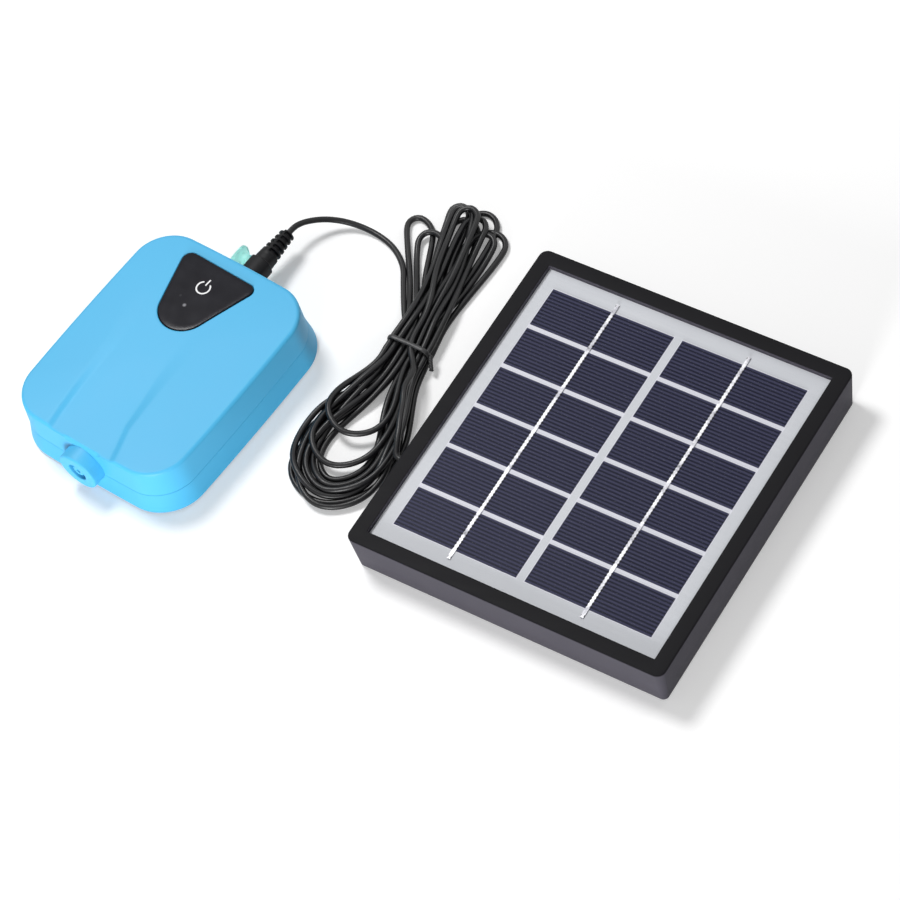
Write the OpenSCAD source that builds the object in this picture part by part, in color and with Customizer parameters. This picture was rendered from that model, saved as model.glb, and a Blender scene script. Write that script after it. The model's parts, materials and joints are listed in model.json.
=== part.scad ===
/* [Pump housing] */
// Length of the housing at its foot, along the axis of the air outlet
case_l = 98.1; // [96:0.1:104]
// Width of the housing at its foot
case_w = 80.5; // [80:0.1:86]
// Height of the edge of the roof above the ground
case_h = 23.6; // [23.4:0.1:25]
// Radius of the four upright corners
case_corner_r = 16; // [12:0.5:18]
// How far the middle of each side bows out past its ends
case_bow = 0.9; // [0.3:0.1:1.5]
// How far each wall leans in from the foot to the roof
case_lean = 0.95; // [0.5:0.05:1.5]
// How far the middle of the roof is raised above its edge
case_crown = 0.8; // [0.4:0.1:1.2]
// Thickness of the side walls
wall_t = 1.8; // [1.4:0.1:2]
// Thickness of the floor and of the roof at its edge
floor_t = 1.8; // [1.6:0.1:2]
// Height of the line where the two shells meet
parting_z = 10.2; // [9.6:0.1:10.6]
// Height of the underside above the ground, which the feet give
foot_gap = 0.8; // [0.6:0.1:1]
// Depth of the shallow tongue in the roof at its front
tongue_depth = 0.45; // [0.3:0.05:0.6]

/* [Power key] */
// Radius of the left rear corner of the key
key_left_r = 3.6; // [3:0.1:4]
// Radius of the right rear corner of the key
key_right_r = 3; // [2.6:0.1:3.4]
// Radius of the round front of the key
key_front_r = 10.8; // [10:0.1:11.4]
// Gap between the key and the roof around it
key_gap = 0.25; // [0.2:0.05:0.3]
// How far the key goes down when it is pressed
key_travel = 0.5; // [0.3:0.1:0.6]

/* [Air outlet] */
// Outer diameter of the round boss of the outlet
collar_d = 17.3; // [16:0.1:18]
// How far the boss stands out of the front wall at its foot
collar_out = 5.15; // [4:0.05:6]
// Height of the outlet's axis above the ground
outlet_z = 12.5; // [12.2:0.1:12.8]
// Diameter of the hole in the front of the boss
collar_hole_d = 8.4; // [8:0.1:9]
// Outer diameter of the nipple that takes the air hose
nipple_d = 4.4; // [4:0.1:4.6]
// Length of the nipple inside the boss
nipple_l = 5.2; // [4.6:0.1:5.6]
// Diameter of the air bore
air_bore_d = 2.4; // [2:0.1:2.6]

/* [Motor and pump head] */
// Diameter of the motor can across its round sides
motor_d = 20.1; // [19.5:0.1:20.5]
// Height of the motor can across its flats
motor_flat_h = 15.1; // [14.6:0.1:15.2]
// Length of the motor can
motor_l = 20; // [19:0.1:22]
// Diameter of the motor shaft
shaft_d = 2; // [1.9:0.1:2.3]
// Distance from the shaft's centre to the crank pin's centre
crank_throw = 1.2; // [0.8:0.1:1.3]
// Width of the pump head
head_w = 25; // [24:0.1:26]
// Height of the pump head
head_h = 18; // [17.4:0.1:18.2]
// Diameter of the rubber diaphragm
diaphragm_d = 16.4; // [16:0.1:16.8]

/* [Battery and circuit] */
// Diameter of the battery cell
battery_d = 18.4; // [18:0.1:18.5]
// Length of the battery cell
battery_l = 65; // [60:0.5:66]
// Width of the circuit board
board_w = 38; // [36:0.5:39]
// Length of the circuit board
board_l = 38; // [37:0.5:39]
// Thickness of the circuit board
board_t = 1.2; // [1:0.1:1.6]

/* [Cord and plug] */
// Diameter of the cord
cord_d = 2.4; // [2.4:0.1:2.4]
// Diameter of the plug's grip
plug_d = 9.6; // [9:0.1:9.8]
// Length of the plug's grip
plug_grip_l = 10.65; // [10:0.05:10.65]
// Diameter of the plug's metal barrel
barrel_d = 5.5; // [5.4:0.1:5.6]

/* [Solar panel] */
// Width of the panel
panel_w = 132.5; // [130:0.5:136]
// Length of the panel
panel_l = 142; // [140:0.5:150]
// Height of the panel's frame
panel_h = 18.8; // [18:0.1:20]
// Width of the frame's border round the cells
panel_border = 6.2; // [5.5:0.1:7]
// Length of one solar cell
cell_l = 52; // [50:0.5:52.5]
// Width of one solar cell
cell_w = 17.33; // [17:0.01:17.5]
// Gap between the two columns of cells
column_gap = 3.74; // [3:0.01:4]
// Gap between the rows of cells
row_gap = 2; // [1.6:0.1:2.2]

/* [Hidden] */

// Overrun of every cut past the face that it opens
cut = 1;
// Gap of a piece that is glued or pressed to its seat
seat_gap = 0.1;
// Gap between pieces that lie close and don't touch
close_gap = 0.3;
// Radial clearance of a shaft that turns and of a round piece in its hole
run_gap = 0.05;
// Radial clearance of a screw in the hole that it fills
thread_gap = 0.05;
// Sides of the round faces
$fn = 64;

// Colours
case_blue = [0.36, 0.74, 0.93];
smoke_black = [0.06, 0.06, 0.07];
rubber_black = [0.09, 0.09, 0.1];
steel_grey = [0.7, 0.71, 0.73];
brass_gold = [0.83, 0.69, 0.36];
copper_red = [0.72, 0.42, 0.25];
milky_white = [0.93, 0.93, 0.9];
mint_clear = [0.74, 0.93, 0.87];
board_green = [0.1, 0.38, 0.2];
frame_black = [0.08, 0.09, 0.11];
cell_navy = [0.09, 0.11, 0.22];
sheet_white = [0.84, 0.86, 0.89];
wire_red = [0.75, 0.1, 0.08];

// Points of one rounded corner, and of each straight side between two corners
corner_steps = 8;
side_steps = 6;

// Housing
half_w = case_w/2;
half_l = case_l/2;
floor_top = foot_gap + floor_t;
ceiling_z = case_h - floor_t;
roof_fillet_r = 2.2;
foot_bevel = 0.9;
gasket_t = 0.4;
gasket_w = 1.2;
gasket_inset = 0.35;
parting_lean = case_lean*parting_z/case_h;
back_wall_y = half_l - parting_lean;
// Half length and half width of the hollow in the upper shell
front_in = half_l - case_lean - wall_t;
side_in = half_w - case_lean - wall_t;
// Tongue in the roof, in shares of the half width and half length
tongue_shares = [
    [0.405, -1.1], [0.405, -0.96], [0.311, -0.67], [0.296, -0.23], [0.291, 0.4],
    [-0.68, 0.4], [-0.646, 0.25], [-0.547, -0.13], [-0.492, -0.55], [-0.427, -0.98], [-0.427, -1.1]
];
tongue_end_share = 0.3;
tongue_end_y = tongue_end_share*half_l;
tongue_rise = tongue_depth + 0.9*case_crown;
tongue_tilt = atan(tongue_rise/(half_l + tongue_end_y));

// Housing screws, from below, and the rubber feet
screw_x_share = 0.745;
screw_front_share = 0.795;
screw_back_share = 0.856;
screw_places = [
    for (sx = [-1, 1], sy = [-screw_front_share, screw_back_share]) [sx*screw_x_share*half_w, sy*half_l]
];
screw_r = 1.4;
screw_head_r = 2.5;
screw_head_h = 1.9;
screw_seat_z = 4.2;
screw_reach = 6.8;
screw_boss_r = 3.7;
pad_r = 4;
pad_sink = 0.5;
pad_x_share = 0.7;
pad_y_share = 0.57;
pad_places = [for (sx = [-1, 1], sy = [-1, 1]) [sx*pad_x_share*half_w, sy*pad_y_share*half_l]];

// Key, as the outline round three circles, placed in shares of the half width and half length
key_shares = [[-0.414, 0.793], [0.273, 0.79], [-0.105, 0.426]];
key_radii = [key_left_r, key_right_r, key_front_r];
key_points = [for (s = key_shares) [s.x*half_w, s.y*half_l]];
key_proud = 0.65;
key_top_z = case_h + key_proud;
key_bevel = 0.3;
key_rim_w = 1.2;
key_rim_t = 0.9;
key_rim_top = ceiling_z - seat_gap;
plunger_r = 1.6;
plunger_l = 2.3;
plunger_share = [-0.08, 0.55];
switch_at = [plunger_share.x*half_w, plunger_share.y*half_l];

// Circuit board, its posts, switch and lamps
board_z = 5;
board_top = board_z + board_t;
board_x = 5;
board_back_gap = 0.3;
board_y = front_in - board_back_gap - board_l/2;
post_r = 2.2;
post_inset = 2.5;
post_places = [
    for (sx = [-1, 1], sy = [-1, 1])
        [board_x + sx*(board_w/2 - post_inset), board_y + sy*(board_l/2 - post_inset)]
];
board_screw_r = 0.85;
board_screw_head_r = 1.7;
board_screw_head_h = 1.2;
small_screw_end = foot_gap + 0.5*floor_t;
switch_size = 6;
switch_h = 3.5;
stem_r = 1.5;
stem_sink = 0.5;
led_places = [[-5.2, 21.3], [-9.4, 24.1]];
led_r = 1.5;
led_flange_r = 1.8;
led_flange_h = 0.6;
led_base_z = 14.5;
led_top_gap = 0.5;
led_leg = 0.5;

// Power jack in the back wall
jack_z = parting_z;
jack_w = 9;
jack_h = 2*(jack_z - board_top);
jack_l = 11.2;
jack_back_t = 1.5;
jack_front_y = front_in - seat_gap;
jack_back_y = jack_front_y - jack_l;
jack_pin_r = 0.95;
jack_pin_short = 0.7;
barrel_r = barrel_d/2;
barrel_bore_r = 1.15;
barrel_end_gap = 0.8;
jack_hole_r = barrel_r + 0.55;

// Dust flap beside the jack
flap_x = -9.6;
flap_pin_r = 0.5;
flap_knuckle_r = 1.1;
flap_low = 5;
flap_h = 10.2;
flap_mid_z = flap_low + flap_h/2;
flap_strip_h = 4;
flap_strip_gap = 0.3;
flap_l = 12.5;
flap_t = 1.5;
flap_wall_gap = 0.5;
flap_pin_y = back_wall_y + flap_knuckle_r + flap_wall_gap;
flap_strip_t = 0.9;
flap_head_t = 0.8;
flap_head_h = 6;
flap_head_w = 2.6;
stud_r = 3;
stud_h = 2.6;
stud_hole_r = 1.4;
stud_at = 9.5;

// Outlet collar and the pump head behind it, front to back
collar_r = collar_d/2;
collar_front = half_l + collar_out;
collar_bevel = 0.5;
collar_rim_r = collar_r + 0.55;
collar_rim_t = 1.5;
collar_rim_front = front_in - seat_gap;
collar_rim_back = collar_rim_front - collar_rim_t;
collar_hole_r = collar_hole_d/2;
nipple_r = nipple_d/2;
nipple_bevel = 0.4;
nipple_set_back = 0.8;
nipple_tip = collar_front - nipple_set_back;
nipple_foot = nipple_tip - nipple_l;
air_bore_r = air_bore_d/2;
back_nipple_l = 2.2;
joiner_r = 3.75;
joiner_l = 5.5;
head_front = collar_rim_back - joiner_l - 2*seat_gap;
cover_t = 6;
spigot_l = 2.5;
cover_back = head_front - cover_t;
chamber_r = 5;
chamber_l = 3.5;
valve_r = 4.4;
valve_t = 0.6;
plate_t = 4;
plate_back = cover_back - plate_t;
press_room_r = 7.2;
press_room_l = 1.2;
port_r = 0.7;
port_ring_r = 2.6;
inlet_port_at = 6.3;
inlet_groove_w = 2;
inlet_groove_l = 1;
diaphragm_r = diaphragm_d/2;
diaphragm_t = 1;
diaphragm_back = plate_back - diaphragm_t;
diaphragm_boss_r = 3.2;
diaphragm_boss_l = 1.5;
fold_r = 4.6;
fold_w = 1.2;
fold_l = 0.6;
ring_t = 2.5;
ring_back = diaphragm_back - ring_t;
ring_bore_r = 6.2;
head_corner_r = 2;
head_screw_x = 10.3;
head_screw_z = 6.7;
head_screw_r = 1;
head_screw_head_r = 1.8;
head_screw_head_h = 1.5;
head_places = [for (sx = [-1, 1], sz = [-1, 1]) [sx*head_screw_x, sz*head_screw_z]];

// Crank, connecting rod and motor, along the motor's axis
motor_r = motor_d/2;
motor_behind_ring = 13.5;
motor_y = -ring_back + motor_behind_ring;
rod_t = 3;
rod_big_r = 6;
rod_bar_h = 4;
rod_pad_r = 3.2;
rod_pad_l = 1.4;
rod_tip_y = -diaphragm_back + diaphragm_boss_l + close_gap;
bearing_r = 4;
pin_r = 1.5;
pin_over = 0.2;
wheel_r = 4.5;
wheel_t = 3;
wheel_x = rod_t/2 + close_gap;
wheel_end_x = wheel_x + wheel_t;
shaft_r = shaft_d/2;
shaft_start_x = wheel_x + 0.3*wheel_t;
bracket_wall_t = 1.4;
bracket_wall_x = wheel_end_x + 0.8;
can_x = bracket_wall_x + bracket_wall_t;
can_end_x = can_x + motor_l;
can_t = 0.8;
nose_r = 3.05;
nose_l = 1.5;
cap_t = 2.5;
cap_lip_l = 1.5;
cap_nose_r = 3;
cap_nose_l = 2;
shaft_end_gap = 0.4;
terminal_at = 6;
terminal_w = 2;
terminal_t = 0.5;
terminal_l = 3.4;
rotor_r = 6.2;
rotor_l = 13;
rotor_gap = 2.2;
rotor_slot = 2.2;
rotor_core_r = 2.8;
winding_r = 4.8;
winding_l = 1;
commutator_r = 2.3;
commutator_l = 2.6;
magnet_in_r = 6.7;
magnet_h = 10.8;
crank_y = motor_y - crank_throw;

// Bracket that carries the pump head and the motor
base_t = 2.3;
base_top = floor_top + base_t;
base_front = ring_back + ring_t;
base_back_y = motor_y + motor_r + 5.5;
strap_w = 6;
strap_t = 0.7;
strap_x = can_x + motor_l/2;
strap_foot_l = 4.4;
strap_out = motor_r + run_gap + strap_t;
bracket_screw_r = 0.95;
bracket_screw_head_r = 1.9;
bracket_screw_head_h = 1.3;
bracket_places = [
    [strap_x, motor_y - strap_out - strap_foot_l/2, strap_t],
    [strap_x, motor_y + strap_out + strap_foot_l/2, strap_t],
    [-0.36*head_w, motor_y - 0.8*motor_r, 0],
    [-0.36*head_w, motor_y + motor_r, 0]
];

// Felt filter over the inlet holes in the floor
filter_r = 5.4;
filter_t = 2;
filter_at = [19.2, -35.2];
filter_ring_t = 0.9;
filter_ring_h = 1;
inlet_hole_r = 0.75;
inlet_ring_r = 2.8;

// Battery along the left wall
battery_r = battery_d/2;
battery_side_gap = 1.9;
battery_x = -(side_in - battery_side_gap - battery_r);
battery_z = floor_top + close_gap + battery_r;
battery_front_y = -28;
battery_bevel = 0.8;
battery_nub_r = 3.2;
battery_nub_l = 1;
cradle_t = 2;
cradle_h = 3.4;
cradle_shares = [0.15, 0.83];
tab_w = 7;
tab_h = 8;
tab_t = 0.3;
wire_r = 0.6;

// Plug and its ribbed strain relief, back from the wall
plug_r = plug_d/2;
plug_start = back_wall_y + close_gap;
plug_end = plug_start + plug_grip_l;
plug_bevel = 0.5;
plug_neck_r = 3.8;
plug_neck_l = 4.4;
relief_start = plug_end + plug_neck_l;
relief_ribs = 5;
relief_pitch = 2.1;
relief_r0 = 4;
relief_r1 = 2.95;
relief_groove = 0.8;
relief_rib_share = 0.55;
relief_l = relief_ribs*relief_pitch;
cord_start = relief_start + relief_l;
cord_r = cord_d/2;

// Solar panel, in its own frame, then turned and placed beside the pump
panel_turn = 5.233;
panel_at = [168.37, 49.74];
panel_corner_r = 3.5;
panel_lean = 1.3;
panel_wall_t = 2.2;
panel_edge = 0.7;
cover_top = panel_h - 1.3;
cover_t2 = 1.2;
cell_t = 0.25;
ribbon_t = 0.15;
backing_t = 1.2;
backing_z = cover_top - cover_t2 - cell_t - ribbon_t - backing_t;
cell_z = backing_z + backing_t;
ribbon_z = cell_z + cell_t;
pocket_top = ribbon_z + ribbon_t;
sheet_gap = 0.15;
window_w = panel_w - 2*panel_border;
window_l = panel_l - 2*panel_border;
shelf_t = 1.5;
shelf_w = 4;
shelf_z = backing_z - shelf_t;
hollow_w = panel_w - 2*(panel_lean + panel_wall_t);
hollow_l = panel_l - 2*(panel_lean + panel_wall_t);
panel_back_t = 2;
panel_back_gap = 0.2;
panel_boss_r = 3.2;
panel_boss_inset = 3;
panel_screw_r = 1;
panel_screw_head_r = 2.2;
panel_screw_head_h = 1;
panel_screw_sink = 1.3;
panel_screw_l = 7;
panel_places = [
    for (sx = [-1, 1], sy = [-1, 0, 1])
        [sx*(hollow_w/2 - panel_boss_inset), sy*(hollow_l/2 - panel_boss_inset)]
];
rows = 6;
row_pitch = cell_w + row_gap;
column_x = (cell_l + column_gap)/2;
ribbon_w = 1.4;
ribbon_over = 4;
pocket_margin = 1.2;

// Gland in the panel's left wall, the leads behind it and the block that they join
gland_y = -29;
gland_z = 9.8;
gland_wall_x = -panel_w/2 + panel_lean*(1 - gland_z/panel_h);
gland_in_x = -hollow_w/2;
gland_neck_r = 2.55;
gland_nut_r = shelf_z - gland_z - seat_gap;
gland_nut_t = 2;
gland_flange_r = 3.4;
gland_flange_t = 1.2;
gland_taper_r0 = 2.7;
gland_taper_r1 = 1.7;
gland_taper_l = 2.4;
gland_out = gland_flange_t + gland_taper_l;
block_w = 16;
block_l = 14;
block_h = 5.5;
block_x = -42;

// Hank of cord: 10 loops piled in 4 layers, round a long axis that bends a little at the tie
tie_at = [71, 58];
hank_turn = 8.5;
hank_bend = tan(4.3);
hank_soft = 25;
layer_turns = 2.5;
layers = 4;
layer_step = 2.85;
hank_lift = 1.4;
hank_lift_l = 25;
loop_rings = 24;
hank_start_turn = -20/360;
hank_steps = loop_rings*layer_turns*layers - 1;
// Where the straight runs end, and each size of the loops at its smallest with its step outwards
bend_low_left = 38;
bend_low_right = 52;
bend_up_left = 46;
bend_up_right = 50;
reach_low = [61.6, 5];
reach_up = [53.5, 5.2];
half_low_left = [11.2, 3.3];
half_low_right = [12.3, 3.3];
half_up_left = [8.8, 4];
half_up_right = [7.5, 3.7];
waist = [1.6, 3.05];

// Points that the cord passes on its way from the plug to the hank
plug_route = [
    [0, 77.2, 10.2], [0.6, 80.6, 9.7], [2.6, 84.8, 8.3], [6.4, 89.4, 6.3], [12, 93.2, 4.2],
    [18.5, 95.4, 2.5], [25.5, 96, 1.6], [32.5, 95, 1.2], [39, 92.3, 1.2], [44.6, 88.4, 1.2],
    [49.2, 83.4, 1.3]
];
// Points that the cord passes from the hank, over its tied waist, to the panel's gland
panel_route = [
    [55.2, 76.6, 12.6], [60.4, 70.2, 14.5], [65.5, 64.5, 14.8], [70.3, 58.8, 15],
    [75.2, 53, 14.9], [79.8, 46.6, 14.5], [84, 40, 14.1], [87.8, 34.1, 13.9], [91.2, 28.6, 13.6],
    [94.2, 23.6, 13], [96.4, 19.4, 11.9], [98, 16.4, 10.6]
];

// Tie round the waist of the hank
tie_t = 1.1;
tie_w = 2.2;
tie_in_half = 11.7;
tie_low = 0.1;
tie_high = 17.6;
tie_corner_r = 3;
tail_wire_r = 0.45;
tail_r = 0.75;
tail_l = 6;
tail_turns = 2.5;
tail_rings = 20;
tail_z = 3.4;

// Unit vector along v
function unit(v) = v/norm(v);

// Points of corner k of a rounded rectangle with half sizes a and b
function corner(a, b, r, k) = [
    for (i = [0:corner_steps])
        let (t = 90*(k + i/corner_steps))
        [(k % 3 == 0 ? 1 : -1)*(a - r) + r*cos(t), (k < 2 ? 1 : -1)*(b - r) + r*sin(t)]
];

// Rounded rectangle, with points along its straight sides too
function rounded(a, b, r) = [
    for (k = [0:3])
        let (
            here = corner(a, b, r, k),
            from = here[corner_steps],
            to = corner(a, b, r, (k + 1) % 4)[0]
        )
        each concat(here, [for (i = [1:side_steps - 1]) from + (to - from)*i/side_steps])
];

// Outline of the housing, set in by inset, with each side bowed out in a parabola
function case_outline(inset) =
    let (
        a = half_w - case_bow - inset,
        b = half_l - case_bow - inset
    )
    [
        for (p = rounded(a, b, case_corner_r - inset))
            [p.x*(1 + case_bow/a*(1 - pow(p.y/b, 2))), p.y*(1 + case_bow/b*(1 - pow(p.x/a, 2)))]
    ];

// Inset of the leaning wall at a height
function lean_at(z) = case_lean*z/case_h;

// Outline lifted to a height
function level(outline, z) = [for (p = outline) [p.x, p.y, z]];

// Middle of a ring of points
function middle(ring) = [for (p = ring) 1]*ring/len(ring);

// Closed skin through rings of equal count, each seen anticlockwise from the last one
module skin(rings) {
    n = len(rings[0]);
    m = len(rings);
    points = concat([for (ring = rings) each ring], [middle(rings[0]), middle(rings[m - 1])]);
    walls = [
        for (j = [0:m - 2], i = [0:n - 1])
            let (a = j*n + i, b = j*n + (i + 1) % n)
            each [[a, a + n, b], [b, a + n, b + n]]
    ];
    low_cap = [for (i = [0:n - 1]) [m*n, i, (i + 1) % n]];
    high_cap = [for (i = [0:n - 1]) [m*n + 1, (m - 1)*n + (i + 1) % n, (m - 1)*n + i]];
    polyhedron(points, concat(walls, low_cap, high_cap));
}

// Direction of a path at point i
function heading(path, i) = unit(path[min(i + 1, len(path) - 1)] - path[max(i - 1, 0)]);

// Round tube along a path that never runs along the given side direction
module tube(path, r, sides, side = [0, 0, 1]) {
    rings = [
        for (i = [0:len(path) - 1])
            let (
                t = heading(path, i),
                u = unit(cross(side, t)),
                v = cross(t, u)
            )
            [for (k = [0:sides - 1]) path[i] + r*cos(360*k/sides)*u + r*sin(360*k/sides)*v]
    ];
    skin(rings);
}

// Cylinders along X and along Y
module x_cyl(r, x0, x1) {
    translate([x0, 0, 0]) rotate([0, 90, 0]) cylinder(r = r, h = x1 - x0);
}
module y_cyl(r, y0, y1) {
    translate([0, y0, 0]) rotate([-90, 0, 0]) cylinder(r = r, h = y1 - y0);
}

// Block of the pump head, between two distances in front of the housing's middle
module head_block(front, back) {
    translate([0, -back, outlet_z]) rotate([90, 0, 0])
        linear_extrude(front - back) polygon(rounded(head_w/2, head_h/2, head_corner_r));
}

// Holes of the head screws through a block
module head_holes(front, back) {
    for (p = head_places) translate([p.x, 0, outlet_z + p.y])
        y_cyl(head_screw_r + thread_gap, -front - cut, -back + cut);
}

// Holes that both shells and the gasket share
module wall_holes() {
    translate([0, 0, outlet_z]) y_cyl(collar_r + run_gap, -half_l - cut, -front_in + cut);
    translate([0, 0, jack_z]) y_cyl(jack_hole_r, front_in - cut, half_l + cut);
    slot_t = flap_strip_t + 2*seat_gap;
    slot_h = flap_strip_h + 2*seat_gap;
    translate([flap_x - slot_t/2, front_in - cut, flap_mid_z - slot_h/2])
        cube([slot_t, half_l - front_in + 2*cut, slot_h]);
}

// Outline of the key, grown all round
module key_outline(grow) {
    hull() for (i = [0:2]) translate(key_points[i]) circle(r = key_radii[i] + grow, $fn = 40);
}

module upper_shell() {
    low = parting_z + gasket_t/2;
    edge = case_h - roof_fillet_r;
    walls = [for (z = [low, edge]) level(case_outline(lean_at(z)), z)];
    fillet = [
        for (t = [22.5:22.5:90])
            let (z = edge + roof_fillet_r*sin(t))
            level(case_outline(lean_at(z) + roof_fillet_r*(1 - cos(t))), z)
    ];
    flat = case_outline(case_lean + roof_fillet_r);
    crown = [for (s = [0.85, 0.65, 0.4, 0.15]) level(flat*s, case_h + case_crown*(1 - s*s))];
    color(case_blue) difference() {
        skin(concat(walls, fillet, crown));
        difference() {
            translate([0, 0, low - cut]) linear_extrude(ceiling_z - low + cut)
                polygon(case_outline(case_lean + wall_t));
            for (p = screw_places) translate([p.x, p.y, parting_z])
                cylinder(r = screw_boss_r, h = case_h);
        }
        for (p = screw_places) translate([p.x, p.y, parting_z - cut])
            cylinder(r = screw_r + thread_gap, h = cut + screw_reach + cut);
        wall_holes();
        translate([0, 0, ceiling_z - cut]) linear_extrude(case_h) key_outline(key_gap);
        intersection() {
            translate([0, 0, edge]) linear_extrude(case_h)
                polygon([for (s = tongue_shares) [s.x*half_w, s.y*half_l]]);
            translate([0, tongue_end_y, case_h - tongue_depth + tongue_rise])
                rotate([tongue_tilt, 0, 0]) translate([-half_w, -2*case_l, 0])
                    cube([case_w, 2*case_l, case_h]);
        }
    }
}

module lower_shell() {
    high = parting_z - gasket_t/2;
    foot = [
        for (t = [0:30:90])
            let (z = foot_gap + foot_bevel*(1 - cos(t)))
            level(case_outline(lean_at(z) + foot_bevel*(1 - sin(t))), z)
    ];
    inset = lean_at(high) + wall_t;
    color(case_blue) {
        difference() {
            skin(concat(foot, [level(case_outline(lean_at(high)), high)]));
            difference() {
                translate([0, 0, floor_top]) linear_extrude(case_h) polygon(case_outline(inset));
                for (p = screw_places) translate([p.x, p.y, 0]) cylinder(r = screw_boss_r, h = parting_z);
                for (p = post_places) translate([p.x, p.y, 0]) cylinder(r = post_r, h = board_z);
                for (s = cradle_shares) cradle_rib(battery_front_y + s*battery_l);
                translate([filter_at.x, filter_at.y, 0]) cylinder(
                    r = filter_r + seat_gap + filter_ring_t, h = floor_top + filter_ring_h
                );
            }
            for (p = screw_places) translate([p.x, p.y, 0]) {
                cylinder(r = screw_r + thread_gap, h = case_h);
                cylinder(r = screw_head_r + close_gap, h = screw_seat_z);
            }
            for (p = pad_places) translate([p.x, p.y, 0])
                cylinder(r = pad_r + run_gap, h = foot_gap + pad_sink);
            for (p = post_places) translate([p.x, p.y, small_screw_end - seat_gap])
                cylinder(r = board_screw_r + thread_gap, h = case_h);
            for (p = bracket_places) translate([p.x, p.y, small_screw_end - seat_gap])
                cylinder(r = bracket_screw_r + thread_gap, h = case_h);
            translate([filter_at.x, filter_at.y, floor_top]) cylinder(r = filter_r + seat_gap, h = case_h);
            for (t = [0:60:300]) translate([
                filter_at.x + inlet_ring_r*cos(t), filter_at.y + inlet_ring_r*sin(t), 0
            ]) cylinder(r = inlet_hole_r, h = case_h, $fn = 24);
            wall_holes();
        }
    }
}

// One rib of the battery's cradle, hollowed to the cell
module cradle_rib(y) {
    difference() {
        translate([battery_x - battery_r, y - cradle_t/2, 0])
            cube([battery_d, cradle_t, floor_top + cradle_h]);
        translate([battery_x, 0, battery_z]) y_cyl(battery_r + seat_gap, y - cradle_t, y + cradle_t);
    }
}

module shell_gasket() {
    outer = lean_at(parting_z) + gasket_inset;
    color(rubber_black) difference() {
        translate([0, 0, parting_z - gasket_t/2]) linear_extrude(gasket_t) difference() {
            polygon(case_outline(outer));
            polygon(case_outline(outer + gasket_w));
        }
        wall_holes();
    }
}

module housing_screws() {
    color(steel_grey) for (p = screw_places) translate([p.x, p.y, 0]) difference() {
        union() {
            translate([0, 0, screw_seat_z - screw_head_h]) cylinder(r = screw_head_r, h = screw_head_h);
            translate([0, 0, screw_seat_z]) cylinder(r = screw_r, h = parting_z - screw_seat_z + screw_reach);
        }
        for (t = [0, 90]) rotate([0, 0, t]) translate([
            -0.6*screw_head_r, -0.12*screw_head_r, screw_seat_z - screw_head_h - cut
        ]) cube([1.2*screw_head_r, 0.24*screw_head_r, cut + 0.5*screw_head_h]);
    }
}

module rubber_feet() {
    color(rubber_black) for (p = pad_places) translate([p.x, p.y, 0])
        cylinder(r = pad_r, h = foot_gap + pad_sink);
}

module power_key() {
    color(smoke_black) {
        translate([0, 0, key_rim_top - key_rim_t]) linear_extrude(key_rim_t) key_outline(key_rim_w);
        translate([0, 0, key_rim_top]) linear_extrude(key_top_z - key_bevel - key_rim_top) key_outline(0);
        translate([0, 0, key_top_z - key_bevel]) linear_extrude(key_bevel) key_outline(-key_bevel);
        translate([switch_at.x, switch_at.y, key_rim_top - key_rim_t - plunger_l])
            cylinder(r = plunger_r, h = plunger_l);
    }
}

module switch_stem() {
    low = board_top + switch_h - stem_sink;
    high = key_rim_top - key_rim_t - plunger_l;
    color(milky_white) translate([switch_at.x, switch_at.y, low]) cylinder(r = stem_r, h = high - low);
}

module tact_switch() {
    bore_l = stem_sink + key_travel + close_gap;
    color(smoke_black) translate([switch_at.x, switch_at.y, board_top]) difference() {
        translate([-switch_size/2, -switch_size/2, 0]) cube([switch_size, switch_size, switch_h]);
        translate([0, 0, switch_h - bore_l]) cylinder(r = stem_r + run_gap, h = bore_l + cut);
    }
}

module status_leds() {
    dome_z = key_rim_top - key_rim_t - key_travel - led_top_gap - led_r;
    color(milky_white) for (p = led_places) translate([p.x, p.y, 0]) {
        translate([0, 0, led_base_z]) cylinder(r = led_flange_r, h = led_flange_h);
        translate([0, 0, led_base_z]) cylinder(r = led_r, h = dome_z - led_base_z);
        translate([0, 0, dome_z]) sphere(r = led_r);
        for (sx = [-1, 1]) translate([sx*led_r/2 - led_leg/2, -led_leg/2, board_top])
            cube([led_leg, led_leg, led_base_z - board_top]);
    }
}

module circuit_board() {
    color(board_green) difference() {
        translate([board_x - board_w/2, board_y - board_l/2, board_z]) cube([board_w, board_l, board_t]);
        for (p = post_places) translate([p.x, p.y, board_z - cut])
            cylinder(r = board_screw_r + thread_gap, h = board_t + 2*cut);
    }
}

// Chips, coil, capacitor and the two wire sockets, each at its share of the board
chip_size = [5, 4, 1.5];
chip_shares = [[0.1, -0.45], [0.1, 0.15]];
resistor_size = [2, 1.2, 0.6];
resistor_shares = [[-0.1, -0.75], [0.1, -0.75], [0.5, 0.0], [0.5, 0.15], [-0.75, 0.4], [-0.75, 0.55]];
coil_r = 3.5;
coil_h = 4.2;
coil_share = [0.55, 0.4];
capacitor_r = 2.5;
capacitor_h = 8;
capacitor_share = [0.75, -0.1];
socket_size = [6, 5, 4.5];
socket_shares = [[0.5, -0.82], [-0.42, -0.82]];
function on_board(s) = [board_x + s.x*board_w/2, board_y + s.y*board_l/2, board_top];

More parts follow.
